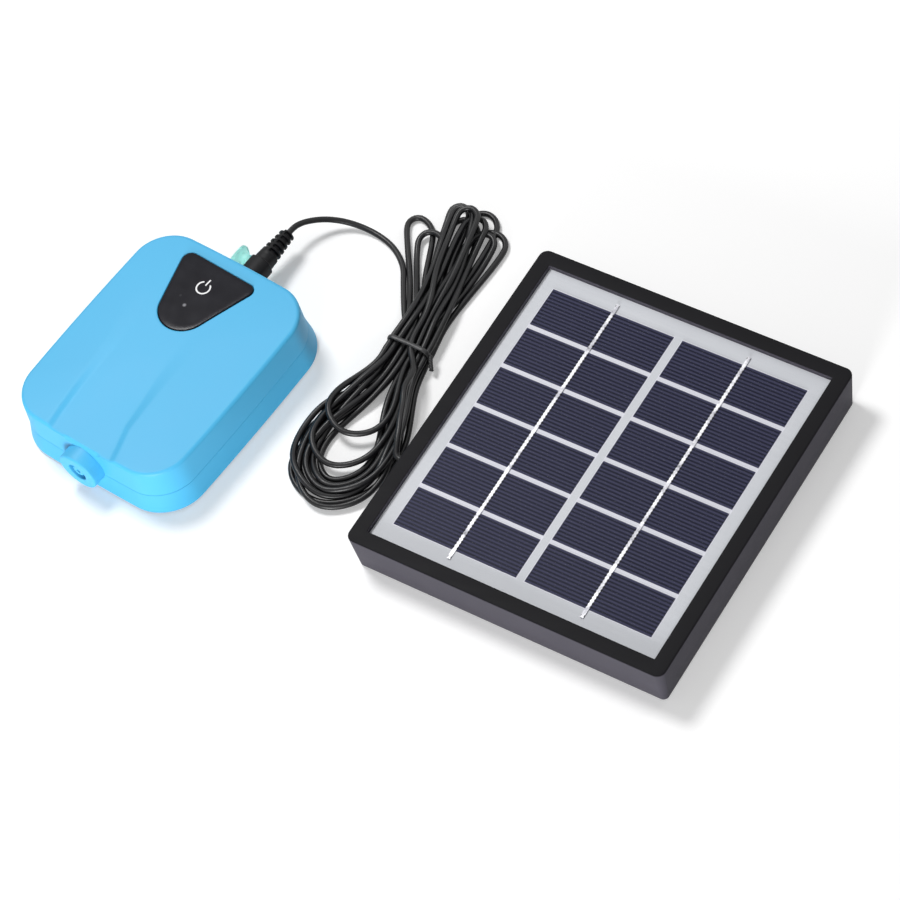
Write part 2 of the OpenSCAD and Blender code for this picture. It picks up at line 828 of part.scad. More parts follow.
module board_parts() {
    for (s = chip_shares) color(smoke_black) translate(on_board(s))
        translate([-chip_size.x/2, -chip_size.y/2, 0]) cube(chip_size);
    for (s = resistor_shares) color(steel_grey) translate(on_board(s))
        translate([-resistor_size.x/2, -resistor_size.y/2, 0]) cube(resistor_size);
    color(copper_red) translate(on_board(coil_share)) cylinder(r = coil_r, h = coil_h);
    color(smoke_black) translate(on_board(capacitor_share)) cylinder(r = capacitor_r, h = capacitor_h);
    for (s = socket_shares) color(milky_white) translate(on_board(s))
        translate([-socket_size.x/2, -socket_size.y/2, 0]) cube(socket_size);
}

module board_screws() {
    color(steel_grey) for (p = post_places) translate([p.x, p.y, 0]) {
        translate([0, 0, board_top]) cylinder(r = board_screw_head_r, h = board_screw_head_h);
        translate([0, 0, small_screw_end]) cylinder(r = board_screw_r, h = board_top - small_screw_end);
    }
}

module dc_jack() {
    color(smoke_black) translate([0, 0, jack_z]) difference() {
        translate([-jack_w/2, jack_back_y, -jack_h/2]) cube([jack_w, jack_l, jack_h]);
        y_cyl(barrel_r + seat_gap, jack_back_y + jack_back_t, jack_front_y + cut);
    }
}

module jack_pin() {
    color(brass_gold) translate([0, 0, jack_z])
        y_cyl(jack_pin_r, jack_back_y + jack_back_t, jack_front_y - jack_pin_short);
}

module flap_anchor() {
    head_y = front_in - seat_gap - flap_head_t;
    color(mint_clear) translate([flap_x, 0, flap_mid_z]) {
        translate([-flap_head_w/2, head_y, -flap_head_h/2]) cube([flap_head_w, flap_head_t, flap_head_h]);
        translate([-flap_strip_t/2, head_y, -flap_strip_h/2])
            cube([flap_strip_t, flap_pin_y - head_y, flap_strip_h]);
        translate([0, flap_pin_y, -flap_h/2]) cylinder(r = flap_pin_r, h = flap_h);
    }
}

module dust_flap() {
    notch_h = flap_strip_h + 2*flap_strip_gap;
    color(mint_clear) translate([flap_x, flap_pin_y, flap_mid_z]) difference() {
        union() {
            translate([0, 0, -flap_h/2]) cylinder(r = flap_knuckle_r, h = flap_h);
            translate([-flap_t/2, 0, -flap_h/2]) cube([flap_t, flap_l - flap_h/4, flap_h]);
            intersection() {
                translate([-flap_t/2, 0, -flap_h/2]) cube([flap_t, flap_l, flap_h]);
                translate([0, flap_l - flap_h/2, 0]) x_cyl(flap_h/2*1.08, -flap_t, flap_t);
            }
            translate([0, stud_at, 0]) x_cyl(stud_r, 0, flap_t/2 + stud_h);
        }
        translate([0, 0, -flap_h/2 - cut]) cylinder(r = flap_pin_r + run_gap, h = flap_h + 2*cut);
        translate([0, stud_at, 0]) x_cyl(stud_hole_r, flap_t/2, flap_t/2 + stud_h + cut);
        translate([-flap_knuckle_r - cut, -flap_knuckle_r - cut, -notch_h/2])
            cube([2*(flap_knuckle_r + cut), 2*flap_knuckle_r + cut + flap_strip_gap, notch_h]);
    }
}

module outlet_collar() {
    color(case_blue) translate([0, 0, outlet_z]) rotate([90, 0, 0]) rotate_extrude() polygon([
        [air_bore_r, collar_rim_back - back_nipple_l],
        [nipple_r, collar_rim_back - back_nipple_l],
        [nipple_r, collar_rim_back],
        [collar_rim_r, collar_rim_back],
        [collar_rim_r, collar_rim_front],
        [collar_r, collar_rim_front],
        [collar_r, collar_front - collar_bevel],
        [collar_r - collar_bevel, collar_front],
        [collar_hole_r, collar_front],
        [collar_hole_r, nipple_foot],
        [nipple_r, nipple_foot],
        [nipple_r, nipple_tip - nipple_bevel],
        [nipple_r - nipple_bevel, nipple_tip],
        [air_bore_r, nipple_tip]
    ]);
}

module joiner_tube() {
    front = collar_rim_back - seat_gap;
    color(milky_white) translate([0, 0, outlet_z]) difference() {
        y_cyl(joiner_r, -front, -front + joiner_l);
        y_cyl(nipple_r + seat_gap, -front - cut, -front + joiner_l + cut);
    }
}

module head_cover() {
    color(smoke_black) difference() {
        union() {
            head_block(head_front, cover_back);
            translate([0, 0, outlet_z]) y_cyl(nipple_r, -head_front - spigot_l, -head_front);
        }
        translate([0, 0, outlet_z]) {
            y_cyl(air_bore_r, -head_front - spigot_l - cut, -cover_back);
            y_cyl(chamber_r, -cover_back - chamber_l, -cover_back + cut);
            translate([-inlet_groove_w/2, -cover_back - inlet_groove_l, inlet_port_at - port_r])
                cube([inlet_groove_w, inlet_groove_l + cut, head_h]);
        }
        head_holes(head_front, cover_back);
    }
}

module valve_disc() {
    color(rubber_black) translate([0, 0, outlet_z]) y_cyl(valve_r, -cover_back - valve_t, -cover_back);
}

module valve_plate() {
    color(milky_white) difference() {
        head_block(cover_back, plate_back);
        translate([0, 0, outlet_z]) {
            y_cyl(press_room_r, -plate_back - press_room_l, -plate_back + cut);
            for (t = [90, 210, 330]) translate([port_ring_r*cos(t), 0, port_ring_r*sin(t)])
                y_cyl(port_r, -cover_back - cut, -plate_back);
            translate([0, 0, inlet_port_at]) y_cyl(port_r, -cover_back - cut, -plate_back);
        }
        head_holes(cover_back, plate_back);
    }
}

module diaphragm() {
    color(rubber_black) translate([0, 0, outlet_z]) rotate([-90, 0, 0]) difference() {
        union() {
            translate([0, 0, -plate_back]) cylinder(r = diaphragm_r, h = diaphragm_t);
            translate([0, 0, -diaphragm_back]) cylinder(r = diaphragm_boss_r, h = diaphragm_boss_l);
        }
        translate([0, 0, -diaphragm_back - fold_l]) difference() {
            cylinder(r = fold_r + fold_w/2, h = fold_l + cut);
            cylinder(r = fold_r - fold_w/2, h = fold_l + cut);
        }
    }
}

module head_screws() {
    color(steel_grey) for (p = head_places) translate([p.x, 0, outlet_z + p.y]) {
        y_cyl(head_screw_head_r, -head_front - head_screw_head_h, -head_front);
        y_cyl(head_screw_r, -head_front, -ring_back);
    }
}

module pump_bracket() {
    color(steel_grey) difference() {
        union() {
            head_block(diaphragm_back, ring_back);
            translate([-head_w/2, -base_front, floor_top])
                cube([head_w/2 + can_end_x, base_front + base_back_y, base_t]);
            translate([bracket_wall_x, -ring_back - ring_t/2, floor_top]) cube([
                bracket_wall_t,
                ring_back + ring_t/2 + motor_y + motor_r,
                outlet_z + motor_flat_h/2 - floor_top
            ]);
        }
        translate([0, 0, outlet_z]) y_cyl(ring_bore_r, -diaphragm_back - cut, -ring_back + cut);
        translate([0, motor_y, outlet_z]) x_cyl(nose_r + run_gap, bracket_wall_x - cut, can_x + cut);
        head_holes(diaphragm_back, ring_back);
        for (p = bracket_places) translate([p.x, p.y, 0])
            cylinder(r = bracket_screw_r + thread_gap, h = case_h);
    }
}

module bracket_screws() {
    color(steel_grey) for (p = bracket_places) translate([p.x, p.y, 0]) {
        translate([0, 0, base_top + p.z]) cylinder(r = bracket_screw_head_r, h = bracket_screw_head_h);
        translate([0, 0, small_screw_end])
            cylinder(r = bracket_screw_r, h = base_top + p.z - small_screw_end);
    }
}

// Outline of the motor, grown all round, and a prism of it along the motor's axis
module motor_outline(grow) {
    intersection() {
        circle(r = motor_r + grow, $fn = 96);
        square([motor_d + 2*grow, motor_flat_h + 2*grow], center = true);
    }
}
module along_motor(x0, x1) {
    translate([x0, motor_y, outlet_z]) rotate([90, 0, 90]) linear_extrude(x1 - x0) children();
}

module motor_can() {
    color(steel_grey) difference() {
        union() {
            along_motor(can_x, can_end_x) motor_outline(0);
            translate([0, motor_y, outlet_z]) x_cyl(nose_r, can_x - nose_l, can_x + can_t);
        }
        along_motor(can_x + can_t, can_end_x + cut) motor_outline(-can_t);
        translate([0, motor_y, outlet_z]) x_cyl(shaft_r + run_gap, can_x - nose_l - cut, can_x + can_t + cut);
    }
}

module motor_end_cap() {
    bore_end = can_end_x + cap_t + cap_nose_l - shaft_end_gap;
    color(milky_white) difference() {
        union() {
            along_motor(can_end_x, can_end_x + cap_t) motor_outline(0);
            along_motor(can_end_x - cap_lip_l, can_end_x) motor_outline(-can_t - seat_gap);
            translate([0, motor_y, outlet_z]) {
                x_cyl(cap_nose_r, can_end_x, can_end_x + cap_t + cap_nose_l);
                for (sy = [-1, 1])
                    translate([can_end_x + cap_t, sy*terminal_at - terminal_t/2, -terminal_w/2])
                        cube([terminal_l, terminal_t, terminal_w]);
            }
        }
        along_motor(can_end_x - cap_lip_l - cut, can_end_x) motor_outline(-2*can_t - seat_gap);
        translate([0, motor_y, outlet_z]) x_cyl(shaft_r + run_gap, can_end_x - cap_lip_l - cut, bore_end);
    }
}

module motor_magnets() {
    start = can_x + can_t + rotor_gap;
    color(smoke_black) along_motor(start, start + rotor_l) intersection() {
        difference() {
            circle(r = motor_r - can_t - run_gap, $fn = 96);
            circle(r = magnet_in_r);
        }
        square([motor_d, magnet_h], center = true);
    }
}

module motor_rotor() {
    start = can_x + can_t + rotor_gap;
    color(copper_red) translate([0, motor_y, outlet_z]) difference() {
        union() {
            difference() {
                x_cyl(rotor_r, start, start + rotor_l);
                for (t = [0, 120, 240]) rotate([t, 0, 0])
                    translate([start - cut, rotor_core_r, -rotor_slot/2])
                        cube([rotor_l + 2*cut, rotor_r, rotor_slot]);
            }
            x_cyl(winding_r, start - winding_l, start);
            x_cyl(winding_r, start + rotor_l, start + rotor_l + winding_l);
            x_cyl(commutator_r, start, start + rotor_l + winding_l + commutator_l);
        }
        x_cyl(shaft_r + thread_gap, 0, 2*can_end_x);
    }
}

module motor_shaft() {
    color(steel_grey) translate([0, motor_y, outlet_z])
        x_cyl(shaft_r, shaft_start_x, can_end_x + cap_t + cap_nose_l - 2*shaft_end_gap);
}

module eccentric_wheel() {
    color(brass_gold) translate([0, motor_y, outlet_z]) difference() {
        union() {
            x_cyl(wheel_r, wheel_x, wheel_end_x);
            translate([0, -crank_throw, 0]) x_cyl(pin_r, -rod_t/2 - pin_over, wheel_x);
        }
        x_cyl(shaft_r + thread_gap, shaft_start_x - seat_gap, wheel_end_x + cut);
    }
}

module rod_bearing() {
    color(steel_grey) translate([0, crank_y, outlet_z]) difference() {
        x_cyl(bearing_r, -rod_t/2, rod_t/2);
        x_cyl(pin_r + run_gap, -rod_t/2 - cut, rod_t/2 + cut);
    }
}

module connecting_rod() {
    color(milky_white) difference() {
        union() {
            translate([0, crank_y, outlet_z]) x_cyl(rod_big_r, -rod_t/2, rod_t/2);
            translate([-rod_t/2, rod_tip_y + rod_pad_l/2, outlet_z - rod_bar_h/2])
                cube([rod_t, crank_y - rod_tip_y - rod_pad_l/2, rod_bar_h]);
            translate([0, 0, outlet_z]) y_cyl(rod_pad_r, rod_tip_y, rod_tip_y + rod_pad_l);
        }
        translate([0, crank_y, outlet_z]) x_cyl(bearing_r + thread_gap, -rod_t/2 - cut, rod_t/2 + cut);
    }
}

module motor_strap() {
    drop = outlet_z - base_top;
    color(steel_grey) difference() {
        along_motor(strap_x - strap_w/2, strap_x + strap_w/2) difference() {
            union() {
                motor_outline(run_gap + strap_t);
                translate([-strap_out, -drop]) square([2*strap_out, drop]);
                translate([-strap_out - strap_foot_l, -drop]) square([2*(strap_out + strap_foot_l), strap_t]);
            }
            motor_outline(run_gap);
            translate([-motor_r - run_gap, -drop - cut]) square([motor_d + 2*run_gap, drop + cut]);
        }
        for (p = bracket_places) translate([p.x, p.y, 0])
            cylinder(r = bracket_screw_r + thread_gap, h = case_h);
    }
}

// Leads from the motor's terminals to their socket on the board
lead_route_a = [
    [32.4, -5.1, 12.5], [34.4, -2, 12], [33.6, 5, 11.2], [27.5, 8.8, 10.6], [21.3, 10.4, 10], [17.9, 10.9, 9.8]
];
lead_route_b = [
    [32.2, -19.2, 12.5], [34.4, -18, 11.8], [35.7, -13, 10.2], [35.8, -6, 9], [35.2, 0, 8.6],
    [31.5, 6.2, 8.6], [24, 8.4, 8.6], [17.9, 9.3, 8.2]
];
module motor_leads() {
    color(wire_red) tube(lead_route_a, wire_r, 6);
    color(wire_red) tube(lead_route_b, wire_r, 6);
}

module inlet_filter() {
    color(milky_white) translate([filter_at.x, filter_at.y, floor_top]) cylinder(r = filter_r, h = filter_t);
}

module battery_cell() {
    color(cell_navy) translate([battery_x, battery_front_y, battery_z]) rotate([-90, 0, 0])
        rotate_extrude() polygon([
            [0, -battery_nub_l], [battery_nub_r, -battery_nub_l], [battery_nub_r, 0],
            [battery_r - battery_bevel, 0], [battery_r, battery_bevel],
            [battery_r, battery_l - battery_bevel], [battery_r - battery_bevel, battery_l], [0, battery_l]
        ]);
}

module battery_tabs() {
    color(steel_grey) for (y = [battery_front_y - battery_nub_l - tab_t, battery_front_y + battery_l])
        translate([battery_x - tab_w/2, y, battery_z - tab_h/2]) cube([tab_w, tab_t, tab_h]);
}

// Leads from the battery's tabs to the board
cell_route_a = [
    [-24.4, -30, 9.4], [-20, -31.6, 7.4], [-16.2, -30, 5], [-15, -25, 4], [-15, -10, 4], [-15, 0, 4.6],
    [-13.6, 5, 6.6], [-10, 8.2, 8.6], [-6.3, 9.2, 9]
];
cell_route_b = [
    [-24.4, 38, 9.4], [-20, 38.6, 8.6], [-16.5, 35.6, 7.9], [-13.4, 31.5, 7.2], [-10.2, 28.2, 6.9]
];
module battery_leads() {
    color(wire_red) tube(cell_route_a, wire_r, 6);
    color(rubber_black) tube(cell_route_b, wire_r, 6);
}

// Puts the panel's own frame in its place beside the pump
module on_panel() {
    translate([panel_at.x, panel_at.y, 0]) rotate([0, 0, panel_turn]) children();
}
function panel_point(p) = [
    panel_at.x + p.x*cos(panel_turn) - p.y*sin(panel_turn),
    panel_at.y + p.x*sin(panel_turn) + p.y*cos(panel_turn),
    p.z
];

// Plate centred on the panel, from one height to another
module panel_plate(w, l, z0, z1) {
    translate([-w/2, -l/2, z0]) cube([w, l, z1 - z0]);
}

module panel_frame() {
    function ring(z, inset) =
        level(rounded(panel_w/2 - inset, panel_l/2 - inset, panel_corner_r - inset), z);
    color(frame_black) on_panel() difference() {
        skin([
            ring(0, panel_lean),
            ring(panel_h - panel_edge, 0),
            ring(panel_h - 0.3*panel_edge, 0.3*panel_edge),
            ring(panel_h, panel_edge)
        ]);
        panel_plate(window_w, window_l, backing_z, panel_h + cut);
        panel_plate(window_w - 2*shelf_w, window_l - 2*shelf_w, shelf_z - cut, panel_h);
        difference() {
            panel_plate(hollow_w, hollow_l, -cut, shelf_z);
            for (p = panel_places) translate([p.x, p.y, panel_back_t])
                cylinder(r = panel_boss_r, h = panel_h);
        }
        for (p = panel_places) translate([p.x, p.y, panel_back_t - cut])
            cylinder(r = panel_screw_r + thread_gap, h = cut + panel_screw_l);
        translate([0, gland_y, gland_z]) {
            x_cyl(gland_neck_r + run_gap, -panel_w/2 - cut, gland_in_x + cut);
            x_cyl(gland_flange_r + seat_gap, -panel_w/2 - cut, gland_wall_x);
        }
    }
}

module panel_back() {
    color(frame_black) on_panel() difference() {
        panel_plate(hollow_w - 2*panel_back_gap, hollow_l - 2*panel_back_gap, 0, panel_back_t);
        for (p = panel_places) translate([p.x, p.y, 0]) {
            translate([0, 0, -cut]) cylinder(r = panel_screw_r + thread_gap, h = panel_back_t + 2*cut);
            translate([0, 0, -cut]) cylinder(r = panel_screw_head_r + seat_gap, h = panel_screw_sink + cut);
        }
    }
}

module panel_screws() {
    color(steel_grey) on_panel() for (p = panel_places) translate([p.x, p.y, 0]) {
        translate([0, 0, panel_screw_sink - panel_screw_head_h])
            cylinder(r = panel_screw_head_r, h = panel_screw_head_h);
        translate([0, 0, panel_screw_sink]) cylinder(r = panel_screw_r, h = panel_screw_l);
    }
}

module backing_sheet() {
    color(sheet_white) on_panel()
        panel_plate(window_w - 2*sheet_gap, window_l - 2*sheet_gap, backing_z, cell_z);
}

module solar_cells() {
    color(cell_navy) on_panel() for (sx = [-1, 1], i = [0:rows - 1])
        translate([sx*column_x - cell_l/2, (i - rows/2)*row_pitch + row_gap/2, cell_z])
            cube([cell_l, cell_w, cell_t]);
}

module bus_ribbons() {
    l = rows*row_pitch - row_gap + 2*ribbon_over;
    color(steel_grey) on_panel() for (sx = [-1, 1]) translate([sx*column_x - ribbon_w/2, -l/2, ribbon_z])
        cube([ribbon_w, l, ribbon_t]);
}

module cover_sheet() {
    cells_w = 2*cell_l + column_gap;
    cells_l = rows*row_pitch - row_gap + 2*ribbon_over;
    color([0.85, 0.9, 0.95, 0.25]) on_panel() difference() {
        panel_plate(window_w - 2*sheet_gap, window_l - 2*sheet_gap, cell_z, cover_top);
        panel_plate(cells_w + 2*pocket_margin, cells_l + 2*pocket_margin, cell_z - cut, pocket_top);
    }
}

module junction_block() {
    color(smoke_black) on_panel() translate([block_x - block_w/2, gland_y - block_l/2, backing_z - block_h])
        cube([block_w, block_l, block_h]);
}

module panel_leads() {
    start = block_x - block_w/2 - seat_gap;
    end = gland_in_x + gland_nut_t + seat_gap;
    spread = 1.4;
    drop = backing_z - block_h/2 - gland_z;
    color(wire_red) on_panel() for (s = [-1, 1]) tube([
        [start, gland_y + 2*s*spread, gland_z + drop],
        [start - 0.3*(start - end), gland_y + 2*s*spread, gland_z + drop],
        [end + 0.3*(start - end), gland_y + s*spread, gland_z],
        [end, gland_y + s*spread, gland_z]
    ], wire_r, 6);
}

module cord_gland() {
    color(rubber_black) on_panel() translate([0, gland_y, gland_z]) {
        rotate([0, 90, 0]) rotate_extrude() polygon([
            [0, gland_wall_x - gland_out],
            [gland_taper_r1, gland_wall_x - gland_out],
            [gland_taper_r0, gland_wall_x - gland_flange_t],
            [gland_flange_r, gland_wall_x - gland_flange_t],
            [gland_flange_r, gland_wall_x],
            [gland_neck_r, gland_wall_x],
            [gland_neck_r, gland_in_x],
            [gland_nut_r, gland_in_x],
            [gland_nut_r, gland_in_x + gland_nut_t],
            [0, gland_in_x + gland_nut_t]
        ]);
    }
}

// Smooth step from 0 to 1 with level ends
function smooth(x) = let (c = max(0, min(1, x))) c*c*(3 - 2*c);

// Point of the hank's axis at s along it from the tie, and the axis's own direction there
function axis_point(s) =
    let (h = sqrt(s*s + hank_soft*hank_soft) - hank_soft)
    tie_at + s*[-sin(hank_turn), cos(hank_turn)] - hank_bend*h*[cos(hank_turn), sin(hank_turn)];
function axis_left(s) =
    let (
        k = hank_bend*s/sqrt(s*s + hank_soft*hank_soft),
        d = unit([-sin(hank_turn), cos(hank_turn)] - k*[cos(hank_turn), sin(hank_turn)])
    )
    [-d.y, d.x];

// Point of the hank after t turns: r turns out from the innermost loop of its layer
function hank_point(t) =
    let (
        a = 90 - 360*t,
        left = sin(a) >= 0,
        low = cos(a) > 0,
        r = abs(layer_turns - (t - 2*layer_turns*max(0, floor(t/(2*layer_turns))))),
        e = acos(min(1, abs(cos(a))))/90,
        bend = low ? (left ? bend_low_left : bend_low_right) : (left ? bend_up_left : bend_up_right),
        reach = low ? reach_low : reach_up,
        half = low ? (left ? half_low_left : half_low_right) : (left ? half_up_left : half_up_right),
        deep = reach[0] + reach[1]*r - bend,
        wide = half[0] + half[1]*r,
        narrow = waist[0] + waist[1]*r,
        y = max(0, 2*e - 1),
        along = e < 0.5 ? bend + deep*cos(180*e) : bend*(1 - y),
        across = e < 0.5 ? wide*sin(180*e) : narrow + (wide - narrow)*smooth(1 - y),
        s = low ? -along : along,
        climb = [for (j = [1:layers - 1]) smooth(2*(t - j*layer_turns) + 0.5)]*[for (j = [1:layers - 1]) 1],
        z = cord_r + layer_step*climb + hank_lift*exp(-pow(s/hank_lift_l, 2)),
        p = axis_point(s) + (left ? 1 : -1)*across*axis_left(s)
    )
    [p.x, p.y, z];

// The hank's path, with a straight stretch of one diameter at each end
hank_core = [for (i = [0:hank_steps]) hank_point(hank_start_turn + i/loop_rings)];
hank_in = unit(hank_core[1] - hank_core[0]);
hank_out = unit(hank_core[hank_steps] - hank_core[hank_steps - 1]);
hank_first = hank_core[0] - cord_d*hank_in;
hank_last = hank_core[hank_steps] + cord_d*hank_out;
hank_path = concat([hank_first], hank_core, [hank_last]);

// Least gap from a path to its own other turns, and the path's length
function span(p, a, b) = norm(p - a - (b - a)*max(0, min(1, (p - a)*(b - a)/((b - a)*(b - a)))));
function path_gap(path, skip) = min([
    for (i = [0:len(path) - 1 - skip], j = [i + skip:len(path) - 2])
        min(span(path[i], path[j], path[j + 1]), span(path[j], path[i], path[i + 1]))
]) - cord_d;
function path_length(path) =
    [for (i = [1:len(path) - 1]) norm(path[i] - path[i - 1])]*[for (i = [1:len(path) - 1]) 1];

module cord_hank() {
    echo(least_gap = path_gap(hank_path, loop_rings/4), hank_length = path_length(hank_path));
    color(rubber_black) tube(hank_path, cord_r, 6);
}

plug_path = concat([[0, cord_start, jack_z]], plug_route, [hank_first - cord_d*hank_in, hank_first]);
module plug_cord_run() {
    echo(plug_run_length = path_length(plug_path));
    color(rubber_black) tube(plug_path, cord_r, 8);
}

gland_mouth = panel_point([gland_wall_x - gland_out, gland_y, gland_z]);
gland_before = panel_point([gland_wall_x - gland_out - cord_d, gland_y, gland_z]);
panel_path = concat([hank_last, hank_last + cord_d*hank_out], panel_route, [gland_before, gland_mouth]);
module panel_cord_run() {
    echo(panel_run_length = path_length(panel_path), gland_mouth = gland_mouth);
    color(rubber_black) tube(panel_path, cord_r, 8);
}

module hank_tie() {
    half_h = (tie_high - tie_low)/2;
    half_out = tie_in_half + tie_t;
    tail = [
        for (s = [0, 180]) [
            for (i = [0:tail_rings])
                let (f = i/tail_rings, t = s + 360*tail_turns*f)
                [half_out + close_gap + tail_l*f, -tail_z*0.3*f + tail_r*sin(t), tail_z + tail_r*cos(t)]
        ]
    ];
    color(rubber_black) translate([tie_at.x, tie_at.y, 0]) rotate([0, 0, hank_turn]) {
        translate([0, tie_w/2, tie_low + half_h]) rotate([90, 0, 0]) linear_extrude(tie_w) difference() {
            polygon(rounded(half_out, half_h, tie_corner_r));
            polygon(rounded(tie_in_half, half_h - tie_t, tie_corner_r - tie_t));
        }
        for (path = tail) tube(path, tail_wire_r, 6);
    }
}

module plug_relief() {
    ribs = [
        for (i = [0:relief_ribs - 1])
            let (
                y0 = relief_start + i*relief_pitch,
                y1 = y0 + relief_rib_share*relief_pitch,
                y2 = y0 + relief_pitch,
                r = relief_r0 + (relief_r1 - relief_r0)*i/(relief_ribs - 1)
            )
            each [[r, y0], [r, y1], [r - relief_groove, y1], [r - relief_groove, y2]]
    ];
    color(rubber_black) translate([0, 0, jack_z]) rotate([-90, 0, 0]) rotate_extrude()
        polygon(concat([[0, relief_start]], ribs, [[0, cord_start]]));
}

module dc_plug() {
    color(rubber_black) translate([0, 0, jack_z]) rotate([-90, 0, 0]) rotate_extrude() polygon([
        [0, plug_start],
        [plug_r - plug_bevel, plug_start],
        [plug_r, plug_start + plug_bevel],
        [plug_r, plug_end - plug_bevel],
        [plug_r - plug_bevel, plug_end],
        [plug_neck_r, plug_end],
        [plug_neck_r, relief_start],
        [0, relief_start]
    ]);
}

module plug_barrel() {
    color(steel_grey) translate([0, 0, jack_z]) difference() {
        y_cyl(barrel_r, jack_back_y + jack_back_t + barrel_end_gap, plug_start);
        y_cyl(barrel_bore_r, jack_back_y, jack_front_y + jack_pin_short);
    }
}

upper_shell();
lower_shell();
shell_gasket();
housing_screws();
rubber_feet();
power_key();
switch_stem();
tact_switch();
status_leds();
circuit_board();
board_parts();
board_screws();
dc_jack();
jack_pin();
flap_anchor();
dust_flap();
outlet_collar();
joiner_tube();
head_cover();
valve_disc();
valve_plate();
diaphragm();
head_screws();
pump_bracket();
bracket_screws();
motor_can();
motor_end_cap();
motor_magnets();
motor_rotor();
motor_shaft();
eccentric_wheel();
rod_bearing();
connecting_rod();
motor_strap();
motor_leads();
inlet_filter();
battery_cell();
battery_tabs();
battery_leads();
panel_frame();
panel_back();
panel_screws();
backing_sheet();
solar_cells();
bus_ribbons();
cover_sheet();
junction_block();
panel_leads();
cord_gland();
panel_cord_run();
cord_hank();
hank_tie();
plug_cord_run();
plug_relief();
dc_plug();
plug_barrel();
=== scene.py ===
import json
import math

import bmesh
import bpy
import numpy as np
from mathutils import Matrix, Vector


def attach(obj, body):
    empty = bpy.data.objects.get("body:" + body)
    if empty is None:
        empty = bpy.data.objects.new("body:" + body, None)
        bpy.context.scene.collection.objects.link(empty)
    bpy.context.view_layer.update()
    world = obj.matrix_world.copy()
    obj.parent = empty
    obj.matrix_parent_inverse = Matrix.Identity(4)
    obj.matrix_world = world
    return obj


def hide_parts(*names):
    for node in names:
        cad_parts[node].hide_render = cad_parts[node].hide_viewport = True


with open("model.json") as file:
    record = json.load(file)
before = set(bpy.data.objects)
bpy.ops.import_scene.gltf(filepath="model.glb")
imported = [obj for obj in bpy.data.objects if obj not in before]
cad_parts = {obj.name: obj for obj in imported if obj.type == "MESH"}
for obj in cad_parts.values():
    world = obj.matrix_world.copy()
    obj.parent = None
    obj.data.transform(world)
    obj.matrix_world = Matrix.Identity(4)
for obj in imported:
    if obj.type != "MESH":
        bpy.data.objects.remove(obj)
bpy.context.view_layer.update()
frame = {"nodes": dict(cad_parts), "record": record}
print("frame loaded with", len(frame["nodes"]), "nodes")

mm = 0.001
scene = bpy.context.scene


# A socket of a node: an expression on it adds the Math nodes that work it out.
class Wire:
    def __init__(self, nodes, socket):
        self.nodes = nodes
        self.socket = socket

    def math(self, operation, *values):
        return self.nodes.add("ShaderNodeMath", {"operation": operation}, values)

    def __add__(self, other):
        return self.math("ADD", self, other)

    def __sub__(self, other):
        return self.math("SUBTRACT", self, other)

    def __rsub__(self, other):
        return self.math("SUBTRACT", other, self)

    def __mul__(self, other):
        return self.math("MULTIPLY", self, other)

    def __mod__(self, other):
        return self.math("FLOORED_MODULO", self, other)

    def __pow__(self, other):
        return self.math("POWER", self, other)

    def __lt__(self, other):
        return self.math("LESS_THAN", self, other)

    def __abs__(self):
        return self.math("ABSOLUTE", self)

    def sine(self):
        return self.math("SINE", self)

    # 0 at low, 1 at high, smooth between them
    def rise(self, low, high):
        return self.nodes.add("ShaderNodeMapRange", {"interpolation_type": "SMOOTHSTEP"},
                              {"Value": self, "From Min": low, "From Max": high}, "Result")


# The node tree of a material or of the world
class Nodes:
    def __init__(self, owner):
        owner.use_nodes = True
        self.tree = owner.node_tree
        self.tree.nodes.clear()

    def add(self, kind, settings=None, values=(), output=0):
        made = self.tree.nodes.new(kind)
        for name, value in (settings or {}).items():
            setattr(made, name, value)
        pairs = values.items() if isinstance(values, dict) else enumerate(values)
        for name, value in pairs:
            if isinstance(value, Wire):
                self.tree.links.new(value.socket, made.inputs[name])
            else:
                made.inputs[name].default_value = value
        return Wire(self, made.outputs[output]) if len(made.outputs) else made

    def place(self):
        return self.add("ShaderNodeTexCoord", output="Object")

    # x, y and z of the place, in mm
    def axes(self):
        parts = self.add("ShaderNodeSeparateXYZ", values=[self.place()])
        return [Wire(self, out)*1000 for out in parts.socket.node.outputs]

    # Noise of about the given grain in mm, stretched along an axis by a Mapping node
    def noise(self, grain, detail=3.0, rough=0.5, stretch=(1, 1, 1), turn=0.0):
        spot = self.add("ShaderNodeMapping", {"vector_type": "TEXTURE"},
                        {"Vector": self.place(), "Rotation": (0, 0, turn), "Scale": stretch})
        return self.add("ShaderNodeTexNoise", values={
            "Vector": spot, "Scale": 1000/grain, "Detail": detail, "Roughness": rough})

    # 1 for what the camera sees straight, in gloss or through glass, and 0 for other light
    def seenDirectly(self):
        rays = self.add("ShaderNodeLightPath").socket.node.outputs
        camera, gloss, glass = (Wire(self, rays[f"Is {kind} Ray"])
                                for kind in ("Camera", "Glossy", "Transmission"))
        return camera.math("MAXIMUM", camera, gloss.math("MAXIMUM", gloss, glass))

    def blend(self, mask, low, high):
        return self.add("ShaderNodeMix", {"data_type": "RGBA"}, {0: mask, 6: low, 7: high}, 2)

    def bump(self, height, depth, strength=1.0):
        return self.add("ShaderNodeBump", values={
            "Height": height, "Distance": depth*mm, "Strength": strength})


# Linear colour from the three bytes that a screen shows
def tint(*bytes3):
    share = np.array(bytes3)/255
    linear = np.where(share > 0.04045, ((share + 0.055)/1.055)**2.4, share/12.92)
    return (*linear.tolist(), 1.0)


# Material with one Principled shader, whose sockets a function of its nodes gives
def makeFinish(name, build):
    material = bpy.data.materials.new(name)
    nodes = Nodes(material)
    shader = nodes.add("ShaderNodeBsdfPrincipled", values=build(nodes), output="BSDF")
    nodes.add("ShaderNodeOutputMaterial", values={"Surface": shader})
    return material


